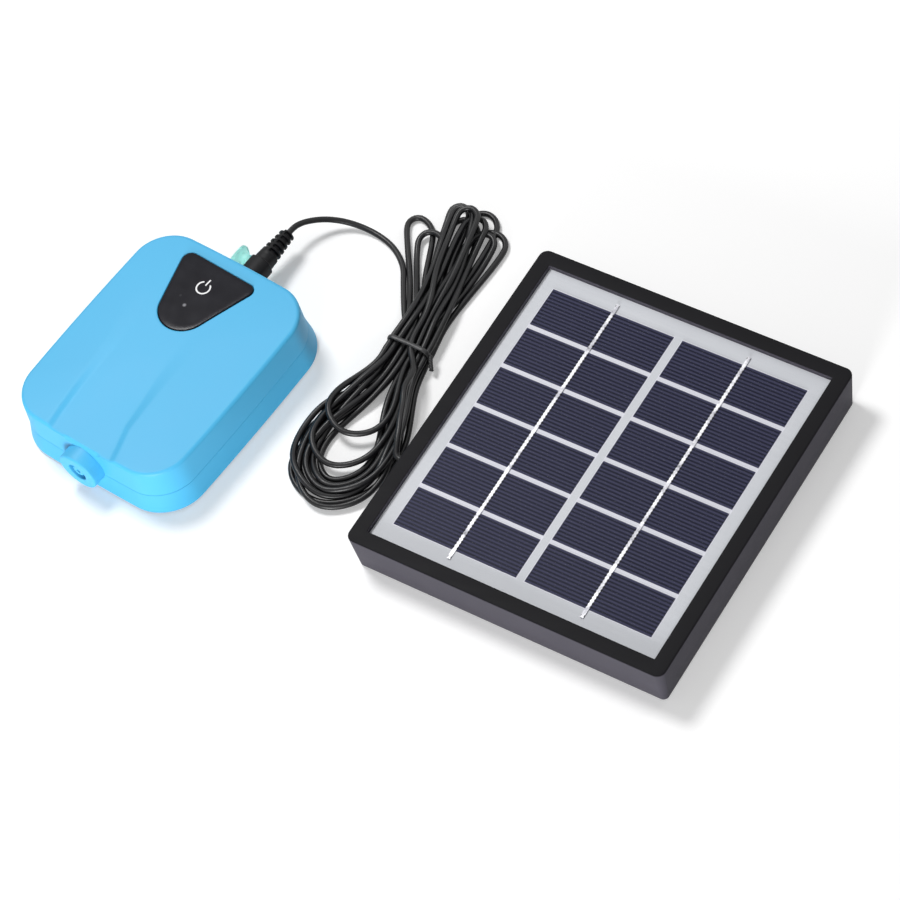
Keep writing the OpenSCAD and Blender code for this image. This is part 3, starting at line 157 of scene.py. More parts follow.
# Camera as fitted to the photo: its place in mm, its directions, and its lens in the photo's pixels
shot = {
    "at": (691.1, -433.4, 1077.1), "right": (0.7871, 0.5925, -0.1714),
    "down": (0.4269, -0.7239, -0.542), "forward": (-0.4452, 0.3534, -0.8227),
    "focal": 3534.0, "centre": (443.9, 452.5), "side": 900.0, "sensor": 36.0, "near": 50, "far": 20000,
}
# Round lamps: place, aim and width in mm, and power in watts
lamps = {
    "keyLamp": {"at": (-432, 157, 998), "aim": (80, 20, 0), "size": 360, "power": 8.3},
    "fillLamp": {"at": (420, -860, 160), "aim": (60, 0, 0), "size": 320, "power": 9.5},
    "backLamp": {"at": (250, 760, 560), "aim": (60, 20, 0), "size": 620, "power": 1.0},
}
# The white surround: what it lights with, and how bright it is behind the part and in gloss
surround = {"light": 0.22, "behind": 1.0}
# The floor in mm: paper is its colour for the light it gives back, seen and glow what shows
floorSizes = {"half": 4000, "z": -0.2, "paper": (0.78, 0.78, 0.785, 1), "seen": (0.87, 0.87, 0.87, 1),
              "glow": 0.24}


# The directions become the camera's axes, and its lens and shift follow from the photo's pixels
def makeCamera(s):
    data = bpy.data.cameras.new("photoCamera")
    camera = bpy.data.objects.new("photoCamera", data)
    scene.collection.objects.link(camera)
    turn = Matrix((s["right"], [-v for v in s["down"]], [-v for v in s["forward"]])).transposed()
    camera.rotation_mode = "QUATERNION"
    camera.rotation_quaternion = turn.to_quaternion()
    camera.location = [v*mm for v in s["at"]]
    data.sensor_width = s["sensor"]
    data.lens = s["focal"]/s["side"]*s["sensor"]
    data.shift_x = (s["side"]/2 - s["centre"][0])/s["side"]
    data.shift_y = (s["centre"][1] - s["side"]/2)/s["side"]
    data.clip_start, data.clip_end = s["near"]*mm, s["far"]*mm
    scene.camera = camera


# Disc lamp whose back points away from what it is aimed at
def makeLamp(name, s):
    data = bpy.data.lights.new(name, "AREA")
    data.shape = "DISK"
    data.size = s["size"]*mm
    data.energy = s["power"]
    lamp = bpy.data.objects.new(name, data)
    scene.collection.objects.link(lamp)
    lamp.location = [v*mm for v in s["at"]]
    back = Vector([(a - b)*mm for a, b in zip(s["at"], s["aim"])])
    lamp.rotation_mode = "QUATERNION"
    lamp.rotation_quaternion = back.to_track_quat("Z", "Y")


def makeSurround(s):
    world = bpy.data.worlds.new("studio")
    scene.world = world
    nodes = Nodes(world)
    seen = nodes.seenDirectly()
    strength = seen*(s["behind"] - s["light"]) + s["light"]
    shade = nodes.add("ShaderNodeBackground", values={"Color": (1, 1, 1, 1), "Strength": strength})
    nodes.add("ShaderNodeOutputWorld", values={"Surface": shade})


def makeFloor(s):
    mesh = bpy.data.meshes.new("floor")
    far, low = s["half"]*mm, s["z"]*mm
    mesh.from_pydata([(-far, -far, low), (far, -far, low), (far, far, low), (-far, far, low)],
                     [], [(0, 1, 2, 3)])
    floor = bpy.data.objects.new("floor", mesh)
    scene.collection.objects.link(floor)
    material = bpy.data.materials.new("paleFloor")
    nodes = Nodes(material)
    direct = nodes.seenDirectly()
    paper = nodes.add("ShaderNodeBsdfDiffuse", values={"Color": s["paper"]})
    white = nodes.add("ShaderNodeBsdfDiffuse", values={"Color": s["seen"]})
    glow = nodes.add("ShaderNodeEmission", values={"Color": (1, 1, 1, 1), "Strength": s["glow"]})
    bright = nodes.add("ShaderNodeAddShader", values=[white, glow])
    both = nodes.add("ShaderNodeMixShader", values=[direct, paper, bright])
    nodes.add("ShaderNodeOutputMaterial", values={"Surface": both})
    mesh.materials.append(material)


makeCamera(shot)
for lampName, lampSizes in lamps.items():
    makeLamp(lampName, lampSizes)
makeSurround(surround)
makeFloor(floorSizes)
scene.view_settings.view_transform = "Standard"
print("camera, lamps and floor made")


# Surface from arrays of points in mm: rings (m, n, 3) joined to each other. Loop joins the last to
# the first, and a pole closes an end.
def ringSurface(rings, loop=False, poles=(None, None)):
    m, n = rings.shape[:2]
    index = np.arange(m*n).reshape(m, n)
    here = index if loop else index[:-1]
    there = np.roll(index, -1, 0) if loop else index[1:]
    quads = np.stack([here, np.roll(here, -1, 1), np.roll(there, -1, 1), there], -1).reshape(-1, 4)
    points = rings.reshape(-1, 3)
    fans = []
    for pole, ring, order in ((poles[0], index[0], (1, 0)), (poles[1], index[-1], (0, 1))):
        if pole is None:
            continue
        tip = np.full(n, len(points))
        points = np.vstack([points, [pole]])
        ends = [ring, np.roll(ring, -1)]
        fans.append(np.stack([ends[order[0]], ends[order[1]], tip], -1))
    return points, quads, np.concatenate(fans) if fans else np.zeros((0, 3), int)


# Six times the volume inside the faces, as the sum of a.(b x c) over the triangles
def insideVolume(points, quads, fans):
    triangles = np.concatenate([quads[:, [0, 1, 2]], quads[:, [0, 2, 3]], fans])
    a, b, c = (points[triangles[:, k]] for k in range(3))
    return np.einsum("ij,ij->", a, np.cross(b, c))


# One object from one or more surfaces, faces outwards, smooth up to the sharp angle. Without a
# material it is a cutter, which rides on nothing.
def putPiece(name, surfaces, material, nodes=(), body="root", sharp=40):
    if not isinstance(surfaces, list):
        surfaces = [surfaces]
    allPoints, allFaces, count = [], [], 0
    for points, quads, fans in surfaces:
        if insideVolume(points, quads, fans) < 0:
            quads, fans = quads[:, ::-1], fans[:, ::-1]
        allPoints.append(points)
        allFaces += (quads + count).tolist() + (fans + count).tolist()
        count += len(points)
    mesh = bpy.data.meshes.new(name)
    mesh.from_pydata((np.concatenate(allPoints)*mm).tolist(), [], allFaces)
    piece = bpy.data.objects.new(name, mesh)
    scene.collection.objects.link(piece)
    if material:
        dress(piece, material, sharp)
        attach(piece, body)
        if nodes:
            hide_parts(*nodes)
    return piece


def dress(piece, material, sharp):
    mesh = piece.data
    mesh.materials.clear()
    mesh.materials.append(material)
    mesh.polygons.foreach_set("use_smooth", [True]*len(mesh.polygons))
    mesh.set_sharp_from_angle(angle=math.radians(sharp))


# Cuts the solids of other pieces out of a piece, and removes them
def cutOut(piece, cutters, sharp=40):
    for cutter in cutters:
        tool = piece.modifiers.new("cut", "BOOLEAN")
        tool.operation, tool.solver, tool.object = "DIFFERENCE", "MANIFOLD", cutter
    scene.view_layers[0].update()
    graph = bpy.context.evaluated_depsgraph_get()
    cut = bpy.data.meshes.new_from_object(piece.evaluated_get(graph))
    material = piece.data.materials[0]
    piece.modifiers.clear()
    piece.data = cut
    dress(piece, material, sharp)
    for cutter in cutters:
        bpy.data.objects.remove(cutter)


# Round bar between two places: its two rings are the places plus radius times (cos, sin)
def bar(radius, start, end, sides=48):
    start, end = np.array(start, float), np.array(end, float)
    axis = (end - start)/np.linalg.norm(end - start)
    side = np.cross(axis, [0, 0, 1] if abs(axis[2]) < 0.9 else [1, 0, 0])
    side /= np.linalg.norm(side)
    turn = np.linspace(0, 2*np.pi, sides, endpoint=False)[:, None]
    ring = radius*(np.cos(turn)*side + np.sin(turn)*np.cross(axis, side))
    return ringSurface(np.stack([start + ring, end + ring]), poles=(start, end))


# Box between two corners, as two rings of four points
def block(low, high):
    (x0, y0, z0), (x1, y1, z1) = low, high
    ring = np.array([[x0, y0], [x1, y0], [x1, y1], [x0, y1]], float)
    rings = np.stack([np.c_[ring, np.full(4, z)] for z in (z0, z1)])
    return ringSurface(rings, poles=(rings[0].mean(0), rings[1].mean(0)))


# Profile with rounded corners: each is the curve a(1-t)^2 + 2pt(1-t) + bt^2 between its cut-back
# points a and b
def roundProfile(corners, radii, closed=False, steps=6):
    corners = np.array(corners, float)
    before, after = np.roll(corners, 1, 0), np.roll(corners, -1, 0)
    t = np.linspace(0, 1, steps)[:, None]
    parts = []
    for i, (p, r) in enumerate(zip(corners, radii)):
        if r == 0 or (not closed and i in (0, len(corners) - 1)):
            parts.append(p[None])
            continue
        a = p + (before[i] - p)*r/np.linalg.norm(before[i] - p)
        b = p + (after[i] - p)*r/np.linalg.norm(after[i] - p)
        parts.append(a*(1 - t)**2 + 2*p*t*(1 - t) + b*t**2)
    return np.concatenate(parts)


# Closed profile (radius, distance) turned round an axis: foot + radius (cos, sin) + distance along it
def lathe(profile, foot, axis, sides=96):
    axis = np.array(axis, float)
    side = np.cross(axis, [0, 0, 1] if abs(axis[2]) < 0.9 else [1, 0, 0])
    up = np.cross(axis, side)
    turn = np.linspace(0, 2*np.pi, sides, endpoint=False)[None, :, None]
    around = np.cos(turn)*side + np.sin(turn)*up
    rings = np.array(foot, float) + profile[:, None, :1]*around + profile[:, None, 1:]*axis
    return ringSurface(rings, loop=True)


# Smooth curve through points: natural cubic spline over the root of the chord, at even steps
def splineThrough(points, step):
    points = np.array(points, float)
    at = np.concatenate([[0], np.cumsum(np.linalg.norm(np.diff(points, axis=0), axis=1)**0.5)])
    h = np.diff(at)
    n = len(points)
    system = np.eye(n)
    rows = np.arange(1, n - 1)
    system[rows, rows - 1] = h[:-1]
    system[rows, rows] = 2*(h[:-1] + h[1:])
    system[rows, rows + 1] = h[1:]
    slope = np.diff(points, axis=0)/h[:, None]
    bend = np.zeros_like(points)
    bend[1:-1] = 6*np.diff(slope, axis=0)
    bend = np.linalg.solve(system, bend)
    fine = np.linspace(0, at[-1], 24*n)
    k = np.clip(np.searchsorted(at, fine, side="right") - 1, 0, n - 2)
    u, v, w = (fine - at[k])[:, None], (at[k + 1] - fine)[:, None], h[k][:, None]
    curve = (bend[k]*v**3 + bend[k + 1]*u**3)/(6*w) \
        + (points[k]/w - bend[k]*w/6)*v + (points[k + 1]/w - bend[k + 1]*w/6)*u
    return evenly(curve, step)


# The same curve with points at even steps along it
def evenly(curve, step):
    length = np.concatenate([[0], np.cumsum(np.linalg.norm(np.diff(curve, axis=0), axis=1))])
    places = np.linspace(0, length[-1], int(round(length[-1]/step)) + 1)
    return np.stack([np.interp(places, length, curve[:, k]) for k in range(3)], -1)


# Cross-section (n, 2) carried along a path: its frame is turned along the path without twist
def sweep(path, section):
    ahead = np.gradient(path, axis=0)
    ahead /= np.linalg.norm(ahead, axis=1)[:, None]
    side = np.zeros_like(path)
    start = np.cross([0, 0, 1] if abs(ahead[0][2]) < 0.9 else [1, 0, 0], ahead[0])
    side[0] = start/np.linalg.norm(start)
    for k in range(1, len(path)):
        s = side[k - 1] - ahead[k]*(side[k - 1] @ ahead[k])
        side[k] = s/np.linalg.norm(s)
    up = np.cross(ahead, side)
    rings = path[:, None] + section[None, :, :1]*side[:, None] + section[None, :, 1:]*up[:, None]
    return ringSurface(rings, poles=(path[0], path[-1]))


# Circle of points, radius times (cos, sin)
def roundSection(radius, sides):
    turn = np.linspace(0, 2*np.pi, sides, endpoint=False)
    return radius*np.stack([np.cos(turn), np.sin(turn)], -1)


# Quarter circles at the corners of a rectangle of half sizes a and b, anticlockwise
def cornerArcs(a, b, radius, turn):
    return [np.stack([sx*(a - radius) + radius*np.cos(turn + k*np.pi/2),
                      sy*(b - radius) + radius*np.sin(turn + k*np.pi/2)], -1)
            for k, (sx, sy) in enumerate(((1, 1), (-1, 1), (-1, -1), (1, -1)))]


# 0 up to low, 1 from high on, and t^2 (3 - 2t) between them
def smooth(x, low=0.0, high=1.0):
    t = np.clip((x - low)/(high - low), 0, 1)
    return t*t*(3 - 2*t)


# The cord in mm: plug run, hank of ten loops and run to the panel, as one line
cordSizes = {
    "radius": 1.2, "sides": 12, "step": 1.7, "fineStep": 1.25, "tieAt": (71.0, 58.0), "turn": 8.5,
    # strands at the waist: their rows from the floor up, pitch in radii, rise of a row in pitches
    "waistRows": (7, 6, 7, 2), "waistPitch": 2.06, "waistRise": 0.87, "waistLift": 0.05,
    "waistHalf": 9.0, "waistReach": 2.2, "hankEnd": (-9, -7.6, 8.6),
    # settling: its passes, how often and how far a strand looks for others, the points next to it
    # that it skips, the spacing in diameters, the share pushed, the sinking and the smoothing of a
    # pass, and the points from each end over which the line comes free
    "passes": 200, "quickPasses": 60, "lookEvery": 6, "lookOver": 1.2, "skip": 4, "apart": 1.04,
    "push": 0.4, "sink": 0.02, "ease": 12.0, "free": (6, 26),
    # plug end to hank, and hank to the panel's gland, as in the frame
    "plugRoute": [
        (0, 74.489, 10.2), (0, 77.2, 10.2), (0.6, 80.6, 9.7), (2.6, 84.8, 8.3), (6.4, 89.4, 6.3),
        (12, 93.2, 4.2), (18.5, 95.4, 2.5), (25.5, 96, 1.6), (32.5, 95, 1.2), (39, 92.3, 1.2),
        (44.6, 88.4, 1.2), (49.2, 83.4, 1.3)],
    "panelRoute": [(84.2, 40.5, 12.2), (88, 34.1, 12.4), (91.2, 28.6, 12.8), (94.2, 23.6, 12.6),
                   (96.4, 19.4, 11.7), (98, 16.4, 10.6), (99.69, 14.33, 9.8), (102.08, 14.55, 9.8)],
    # each loop's far end: reach along the hank, middle to the left, half width, height
    "low": [(70.4, 0.8, 18.2, 1.2), (67.6, 2.2, 17.0, 1.2), (71.6, -0.6, 17.2, 3.4),
            (64.4, 1.4, 15.8, 1.2), (69.2, 2.2, 17.8, 3.4), (65.6, 0.6, 15.6, 3.6),
            (61.2, 2.0, 14.2, 1.4), (67.2, -0.4, 16.6, 5.4), (56.4, 3.4, 14.6, 5.6),
            (43.0, 4.2, 12.6, 7.6)],
    "high": [(61.4, -4.2, 7.0, 1.3), (67.6, 3.0, 6.6, 1.3), (63.0, 7.6, 5.0, 1.3),
             (57.6, 27.0, 6.6, 1.6), (67.8, 14.0, 4.2, 3.6), (59.4, -2.4, 4.4, 3.8),
             (52.8, 17.6, 6.6, 4.0), (64.6, 4.2, 4.4, 4.4), (66.2, 11.0, 4.2, 6.4),
             (64.8, 8.0, 4.2, 8.8)],
    # shares of the reach at which a loop is shaped, with its share of the half width there
    "lowShares": [(0.2, 0.42), (0.42, 0.8), (0.64, 1.0), (0.83, 0.88), (0.95, 0.5), (1, 0)],
    "highShares": [(0.22, 0.3), (0.46, 0.68), (0.7, 0.96)],
    # round tip of an upper loop: half widths back from its end, with the share of the half width
    "tipShares": [(1.2, 1.0), (0.62, 0.9), (0.2, 0.56), (0, 0)],
}


# Directions on the floor: along the hank to its upper loops, and across it to the left
def hankAxes(s):
    a = math.radians(s["turn"])
    return np.array([-math.sin(a), math.cos(a)]), np.array([-math.cos(a), -math.sin(a)])


# Places where the strands pass the tie, of the left half and of the right, from the lowest up: rows
# of bars that lie in each other's grooves
def waistSlots(s):
    pitch = s["waistPitch"]*s["radius"]
    slots = [((k - (count - 1)/2)*pitch, s["radius"] + s["waistLift"] + row*pitch*s["waistRise"])
             for row, count in enumerate(s["waistRows"]) for k in range(count)]
    slots.sort(key=lambda slot: slot[0])
    half = len(slots)//2
    return [sorted(side, key=lambda slot: slot[1]) for side in (slots[half:], slots[:half])]


# One end of a loop, from the slot it starts in to the slot it ends in. A point at share f of the
# reach lies f times the middle aside, plus or minus the width, and leaves its slot as (1 - f) squared.
def loopEnd(ends, shape, start, end, direction, startSide, levelShare=0.9):
    reach, middle, half, height = ends
    f = np.concatenate([shape[:, 0], shape[-2::-1, 0]])
    w = np.concatenate([shape[:, 1], -shape[-2::-1, 1]])*half*startSide
    slot = np.concatenate([np.tile(start, (len(shape), 1)), np.tile(end, (len(shape) - 1, 1))])
    keep = (1 - f)**2
    across = slot[:, 0]*keep + (middle*f + w)*(1 - keep)
    level = slot[:, 1] + (height - slot[:, 1])*smooth(f, 0, levelShare)
    return np.stack([direction*reach*f, across, level], -1)


# The ten loops in turn: waist, lower end, waist, upper end, and at last the way out to the panel
def hankPoints(s):
    left, right = waistSlots(s)
    lowShape, highShape, tip = (np.array(s[key]) for key in ("lowShares", "highShares", "tipShares"))
    parts = []
    for k, (low, high) in enumerate(zip(s["low"], s["high"])):
        into, out = left[k], right[k]
        back = left[k + 1] if k + 1 < len(s["low"]) else right[-1]
        highEnd = np.vstack([highShape, tip*(-high[2]/high[0], 1) + (1, 0)])
        parts.append(np.array([[0, *into]]))
        parts.append(loopEnd(low, lowShape, into, out, -1, 1))
        parts.append(np.array([[0, *out]]))
        parts.append(loopEnd(high, highEnd, out, back, 1, -1))
    parts.append(np.array([[0, *right[-1]], s["hankEnd"]]))
    local = np.concatenate(parts)
    along, aside = hankAxes(s)
    flat = np.array(s["tieAt"]) + local[:, :1]*along + local[:, 1:2]*aside
    return np.c_[flat, local[:, 2]]


# How far points of the frame lie along and across the hank
def hankPlace(points, s):
    rel = points[:, :2] - np.array(s["tieAt"])
    along, aside = hankAxes(s)
    return rel @ along, rel @ aside


# Settles the strands: each pass pushes apart what lies closer than a diameter and lets the strands
# sink a little. The way moved, and not the line itself, is then smoothed by solving
# (1 + e D'D) d = moved, D being the second difference, so the loops keep their bends.
def settle(path, s, passes):
    home, n = path.copy(), len(path)
    thick = 2*s["radius"]
    second = np.diff(np.eye(n), 2, axis=0)
    ease = np.linalg.inv(np.eye(n) + s["ease"]*second.T @ second)
    order = np.arange(n)
    free = smooth(np.minimum(order, n - 1 - order), *s["free"])[:, None]
    moved = np.zeros_like(home)
    aside = hankAxes(s)[1]
    for turn in range(passes):
        p = home + moved
        if turn % s["lookEvery"] == 0:
            sq = (p*p).sum(1)
            near = sq[:, None] + sq[None] - 2*p @ p.T < (thick + s["lookOver"])**2
            i, j = np.nonzero(np.triu(near, s["skip"]))
        between = p[j] - p[i]
        gap = np.linalg.norm(between, axis=1) + 1e-9
        move = between*(np.maximum(thick*s["apart"] - gap, 0)*s["push"]/gap)[:, None]
        for k in range(3):
            moved[:, k] += np.bincount(j, move[:, k], n) - np.bincount(i, move[:, k], n)
        moved[:, 2] -= s["sink"]
        if turn % 2:
            moved = ease @ moved
        moved *= free
        along, across = hankPlace(home + moved, s)
        over = np.maximum(np.abs(across) - (s["waistHalf"] - s["radius"]), 0)*np.sign(across)
        over = np.where(np.abs(along) < s["waistReach"], over, 0)
        moved[:, :2] -= over[:, None]*aside
        moved[:, 2] = np.maximum(moved[:, 2], s["radius"] - home[:, 2])
    return home + moved


cordRoute = np.concatenate([cordSizes["plugRoute"], hankPoints(cordSizes), cordSizes["panelRoute"]])
cordPath = settle(splineThrough(cordRoute, cordSizes["step"]), cordSizes,
                  cordSizes["passes"])
cordPath = evenly(cordPath, cordSizes["fineStep"])


# Black sheath with a soft sheen: slow patches of tone under a fine grain
def cordFinish(nodes):
    grain = nodes.noise(0.5, 4)
    patches = nodes.noise(9, 2)
    return {
        "Base Color": nodes.blend(patches, tint(11, 11, 13), tint(19, 19, 21)),
        "Roughness": grain*0.16 + 0.28, "Specular IOR Level": 0.32,
        "Normal": nodes.bump(grain, 0.05, 0.5),
    }


cordLook = makeFinish("cordSheath", cordFinish)
cordSection = roundSection(cordSizes["radius"], cordSizes["sides"])
cord = putPiece("powerCord", sweep(cordPath, cordSection), cordLook,
                ("plug_cord_run", "cord_hank", "panel_cord_run"))

# Tie in mm: half thickness and half width of the band, how it clears the strands and the floor, and
# how the two tails leave it and wind round each other
tieSizes = {
    "wire": 0.55, "width": 0.95, "sides": 16, "step": 0.5, "lift": 0.05, "floor": 0.15, "corner": 3.0,
    "slant": 0.08, "reach": 1.6, "side": 14,
    "tail": 6.0, "tailShares": (0.45, 0.8), "tailOut": 0.2, "tailRiseShare": 0.1, "drop": 2.2,
    "twist": 3.0, "coil": 0.5, "tailWire": 0.5, "tailSides": 10,
}


# Band: a flat oval carried round a rounded rectangle about the strands where they are tightest.
# Tails: two helixes, half a turn apart, about a line that leaves the band's right side.
def tieSurfaces(s, c):
    along, across = hankPlace(cordPath, c)
    inside = (np.abs(along) < s["reach"]) & (np.abs(across) < s["side"])
    left, right = across[inside].max() + c["radius"], across[inside].min() - c["radius"]
    top = cordPath[inside, 2].max() + c["radius"]
    w, h = left - right + 2*s["lift"], top + s["lift"] - s["floor"]
    ring = np.concatenate(cornerArcs(w/2, h/2, s["corner"], np.linspace(0, np.pi/2, 10)))
    lengthways, aside = (np.append(axis, 0) for axis in hankAxes(c))
    up = np.array([0, 0, 1.0])
    middle = np.array([*c["tieAt"], h/2 + s["floor"]]) + aside*(left + right)/2
    path = middle + ring[:, :1]*(aside + s["slant"]*lengthways) + ring[:, 1:]*up
    path = evenly(np.vstack([path, path[:1]]), s["step"])[:-1]
    outward = path - path.mean(0)
    outward -= (outward @ lengthways)[:, None]*lengthways
    outward /= np.linalg.norm(outward, axis=1)[:, None]
    t = np.linspace(0, 2*np.pi, s["sides"], endpoint=False)[None, :, None]
    band = ringSurface(path[:, None] + s["wire"]*np.cos(t)*outward[:, None]
                       + s["width"]*np.sin(t)*lengthways, loop=True)
    start = middle - aside*(w/2 + s["tailOut"]) + up*s["tailRiseShare"]*h
    acrossShare, alongShare = s["tailShares"]
    f = np.linspace(0, 1, 60)[:, None]
    line = start - s["tail"]*(acrossShare*aside + alongShare*lengthways)*f - up*s["drop"]*f**2
    tails = []
    for phase in (0, np.pi):
        angle = phase + 2*np.pi*s["twist"]*f
        coil = s["coil"]*(np.cos(angle)*aside + np.sin(angle)*up)
        tails.append(sweep(line + coil, roundSection(s["tailWire"], s["tailSides"])))
    return [band, *tails]


# Rubbery black wire of the tie
def tieFinish(nodes):
    grain = nodes.noise(0.4, 3)
    return {"Base Color": nodes.blend(grain, tint(16, 16, 18), tint(28, 28, 30)),
            "Roughness": grain*0.2 + 0.35, "Normal": nodes.bump(grain, 0.04, 0.5)}


tieLook = makeFinish("tieWire", tieFinish)
tie = putPiece("hankTieBand", tieSurfaces(tieSizes, cordSizes), tieLook, ("hank_tie",))

# Plug in mm: boxy grip, narrower neck and a relief whose slots lie half a pitch apart on its sides
plugSizes = {
    "axisZ": 10.2, "start": 48.95, "gripEnd": 58.3, "neckEnd": 61.7, "end": 74.45,
    "grip": 4.75, "neck": 3.85, "relief": (3.95, 3.05), "gripFade": 0.3, "neckFade": 0.4,
    # how boxy the grip is, how much of that shows, and where it ends about the neck's end
    "square": 2.2, "boxy": 0.45, "squareEnd": (-2.4, 1.2), "endCut": 0.1, "endReach": 0.18,
    # slots: radius left in them, and their start, half length and edge, the last two in pitches
    "core": 0.72, "pitch": 2.4, "slots": 5, "slotStart": 0.55, "slotHalf": 0.27, "slotEdge": 0.07,
    "slotSide": (0.1, 0.28),
}


# Radius at a distance along the plug and an angle round it: a squarish outline,
# (|cos|^p + |sin|^p)^(-1/p), that rounds off towards the relief, less the slots, which are smooth
# pulses on the left and on the right.
def plugSurface(s):
    # the rings lie closer together where the radius changes
    along = np.concatenate([
        s["start"] + np.array([0, 0.12, 0.35]), np.linspace(s["start"] + 0.7, s["gripEnd"] - 0.7, 12),
        s["gripEnd"] + np.linspace(-0.5, 0.5, 9), np.linspace(s["gripEnd"] + 0.8, s["neckEnd"] - 0.2, 6),
        np.linspace(s["neckEnd"], s["end"], 110)])[:, None]
    angle = np.linspace(0, 2*np.pi, 96, endpoint=False)[None]
    square = 1 - smooth(along, s["neckEnd"] + s["squareEnd"][0], s["neckEnd"] + s["squareEnd"][1])
    power = 2 + s["square"]*square
    rounding = (np.abs(np.cos(angle))**power + np.abs(np.sin(angle))**power)**(-1/power)
    stretch = 1 + (rounding - 1)*s["boxy"]
    taper = smooth(along, s["neckEnd"], s["end"])
    toNeck = smooth(along, s["gripEnd"] - s["gripFade"], s["gripEnd"] + s["gripFade"])
    radius = s["grip"] + (s["neck"] - s["grip"])*toNeck
    relief = s["relief"][0] + (s["relief"][1] - s["relief"][0])*taper
    toRelief = smooth(along, s["neckEnd"] - s["neckFade"], s["neckEnd"] + s["neckFade"])
    radius = radius + (relief - radius)*toRelief
    fromEnd = np.minimum(along - s["start"], s["end"] - along)
    radius = radius*(1 - s["endCut"]*np.exp(-fromEnd/s["endReach"]))
    depth = np.zeros_like(radius*angle)
    for side, shift in ((1, 0.0), (-1, 0.5)):
        where = smooth(side*np.cos(angle), *s["slotSide"])
        phase = (along - s["neckEnd"] - s["slotStart"])/s["pitch"] - shift
        pulse = smooth(s["slotHalf"] - np.abs(phase % 1 - 0.5), -s["slotEdge"], s["slotEdge"])
        inRange = (phase > 0) & (phase < s["slots"])
        depth = depth + where*pulse*inRange
    radius = radius*stretch*(1 - (1 - s["core"])*depth)
    x, z = radius*np.cos(angle), radius*np.sin(angle)
    rings = np.stack([x, along + 0*x, s["axisZ"] + z], -1)
    ends = [np.array([0, rings[k, 0, 1], s["axisZ"]]) for k in (0, -1)]
    return ringSurface(rings, poles=ends)


# Moulded rubber of the plug and its relief, duller than the cord
def plugFinish(nodes):
    grain = nodes.noise(0.35, 4, 0.6)
    patches = nodes.noise(5, 2)
    return {"Base Color": nodes.blend(patches, tint(9, 9, 11), tint(18, 18, 21)),
            "Roughness": grain*0.2 + 0.36, "Specular IOR Level": 0.16,
            "Normal": nodes.bump(grain, 0.05, 0.6)}


plugLook = makeFinish("plugRubber", plugFinish)
plug = putPiece("plugBody", plugSurface(plugSizes), plugLook,
                ("dc_plug", "plug_relief"), sharp=50)
(cordPath[::-1]*mm).tolist()
print("cord, tie and plug made")


# Pump case in mm. The creases are lines of places (y, x) that the roof's tongue lies between.
caseSizes = {
    "halfWidth": 40.25, "halfLength": 49.05, "edge": 23.6, "corner": 16.0, "bow": 0.9, "lean": 0.95,
    "crown": 0.8, "wall": 1.8, "parting": 10.2, "seam": 0.06, "lip": 0.3, "tuck": 0.2, "bevel": 0.1,
    "fillet": 1.4, "foot": 0.5, "spread": 1.4, "footBevel": 0.8, "floorTop": 2.6, "ceiling": 21.8,
    "innerRound": 0.6, "floorRound": 0.5, "wallStart": 0.6, "outlineStep": 0.08, "rays": 700,
    "lowRays": 360,
    "tongue": 0.95, "tongueFront": -44, "tongueBack": 27.0, "crease": 2.6, "creaseGrow": 1.5,
    "creaseBack": 10, "creaseRound": 0.4,
    "creaseLeft": [(-52, -16.4), (-48, -17.2), (-27, -19.8), (-6.5, -22), (12, -26), (30, -29)],
    "creaseRight": [(-52, 17.0), (-47, 16.3), (-33, 12.5), (-11.5, 11.9), (13, 11.7), (30, 11.6)],
    "padHalf": 8.7, "padTop": 21.0, "padEdge": 46.1, "padBlend": 0.5,
}
# Power key in mm: its outline goes round three circles (x, y, radius)
keySizes = {
    "circles": [(-16.66, 38.89, 3.57), (10.99, 38.74, 2.98), (-4.22, 20.9, 10.79)],
    "gap": 0.25, "mouthRound": 0.45, "centre": (-3.6, 31.5), "top": 24.28, "round": 0.4,
    "rimTop": 21.7, "rimLow": 20.8, "rimOut": 1.2, "outlineStep": 0.04, "rays": 420,
    "plungerAt": (-3.22, 26.98), "plungerRadius": 1.6, "plungerLow": 18.5,
    "lampAt": (-5.2, 21.3), "dimLampAt": (-9.4, 24.1),
    "iconAt": (-3.85, 31.3), "iconRadius": 2.75, "iconWidth": 0.3, "iconHigh": 0.03,
    # the symbol's ring is open about this direction by the gap to either side, in degrees, and its
    # bar runs between two places from its middle
    "iconOpen": 86, "iconGap": 34, "iconBar": ((0.1, 1.2), (0.3, 4.2)),
}


# Rounded rectangle, anticlockwise, as a dense polyline with sides bowed out in a parabola
def caseOutline(inset, s=caseSizes):
    a, b, r = s["halfWidth"] - s["bow"] - inset, s["halfLength"] - s["bow"] - inset, s["corner"] - inset
    corners = np.concatenate(cornerArcs(a, b, r, np.linspace(0, np.pi/2, 400)))
    closed = np.c_[np.vstack([corners, corners[:1]]), np.zeros(len(corners) + 1)]
    fine = evenly(closed, s["outlineStep"])[:-1, :2]
    x = fine[:, 0]*(1 + s["bow"]/a*(1 - (fine[:, 1]/b)**2))
    y = fine[:, 1]*(1 + s["bow"]/b*(1 - (fine[:, 0]/a)**2))
    return np.stack([x, y], -1)


# Outline round the key's three circles grown all round: for each direction, the furthest point
def keyOutline(grow, s=keySizes):
    turn = np.linspace(-np.pi, np.pi, 1440, endpoint=False)
    way = np.stack([np.cos(turn), np.sin(turn)], -1)
    circles = np.array(s["circles"])
    reach = circles[:, :2] @ way.T + circles[:, 2:] + grow
    best = reach.argmax(0)
    points = circles[best, :2] + (circles[best, 2] + grow)[:, None]*way
    line = np.c_[np.vstack([points, points[:1]]), np.zeros(len(points) + 1)]
    return evenly(line, s["outlineStep"])[:-1, :2]


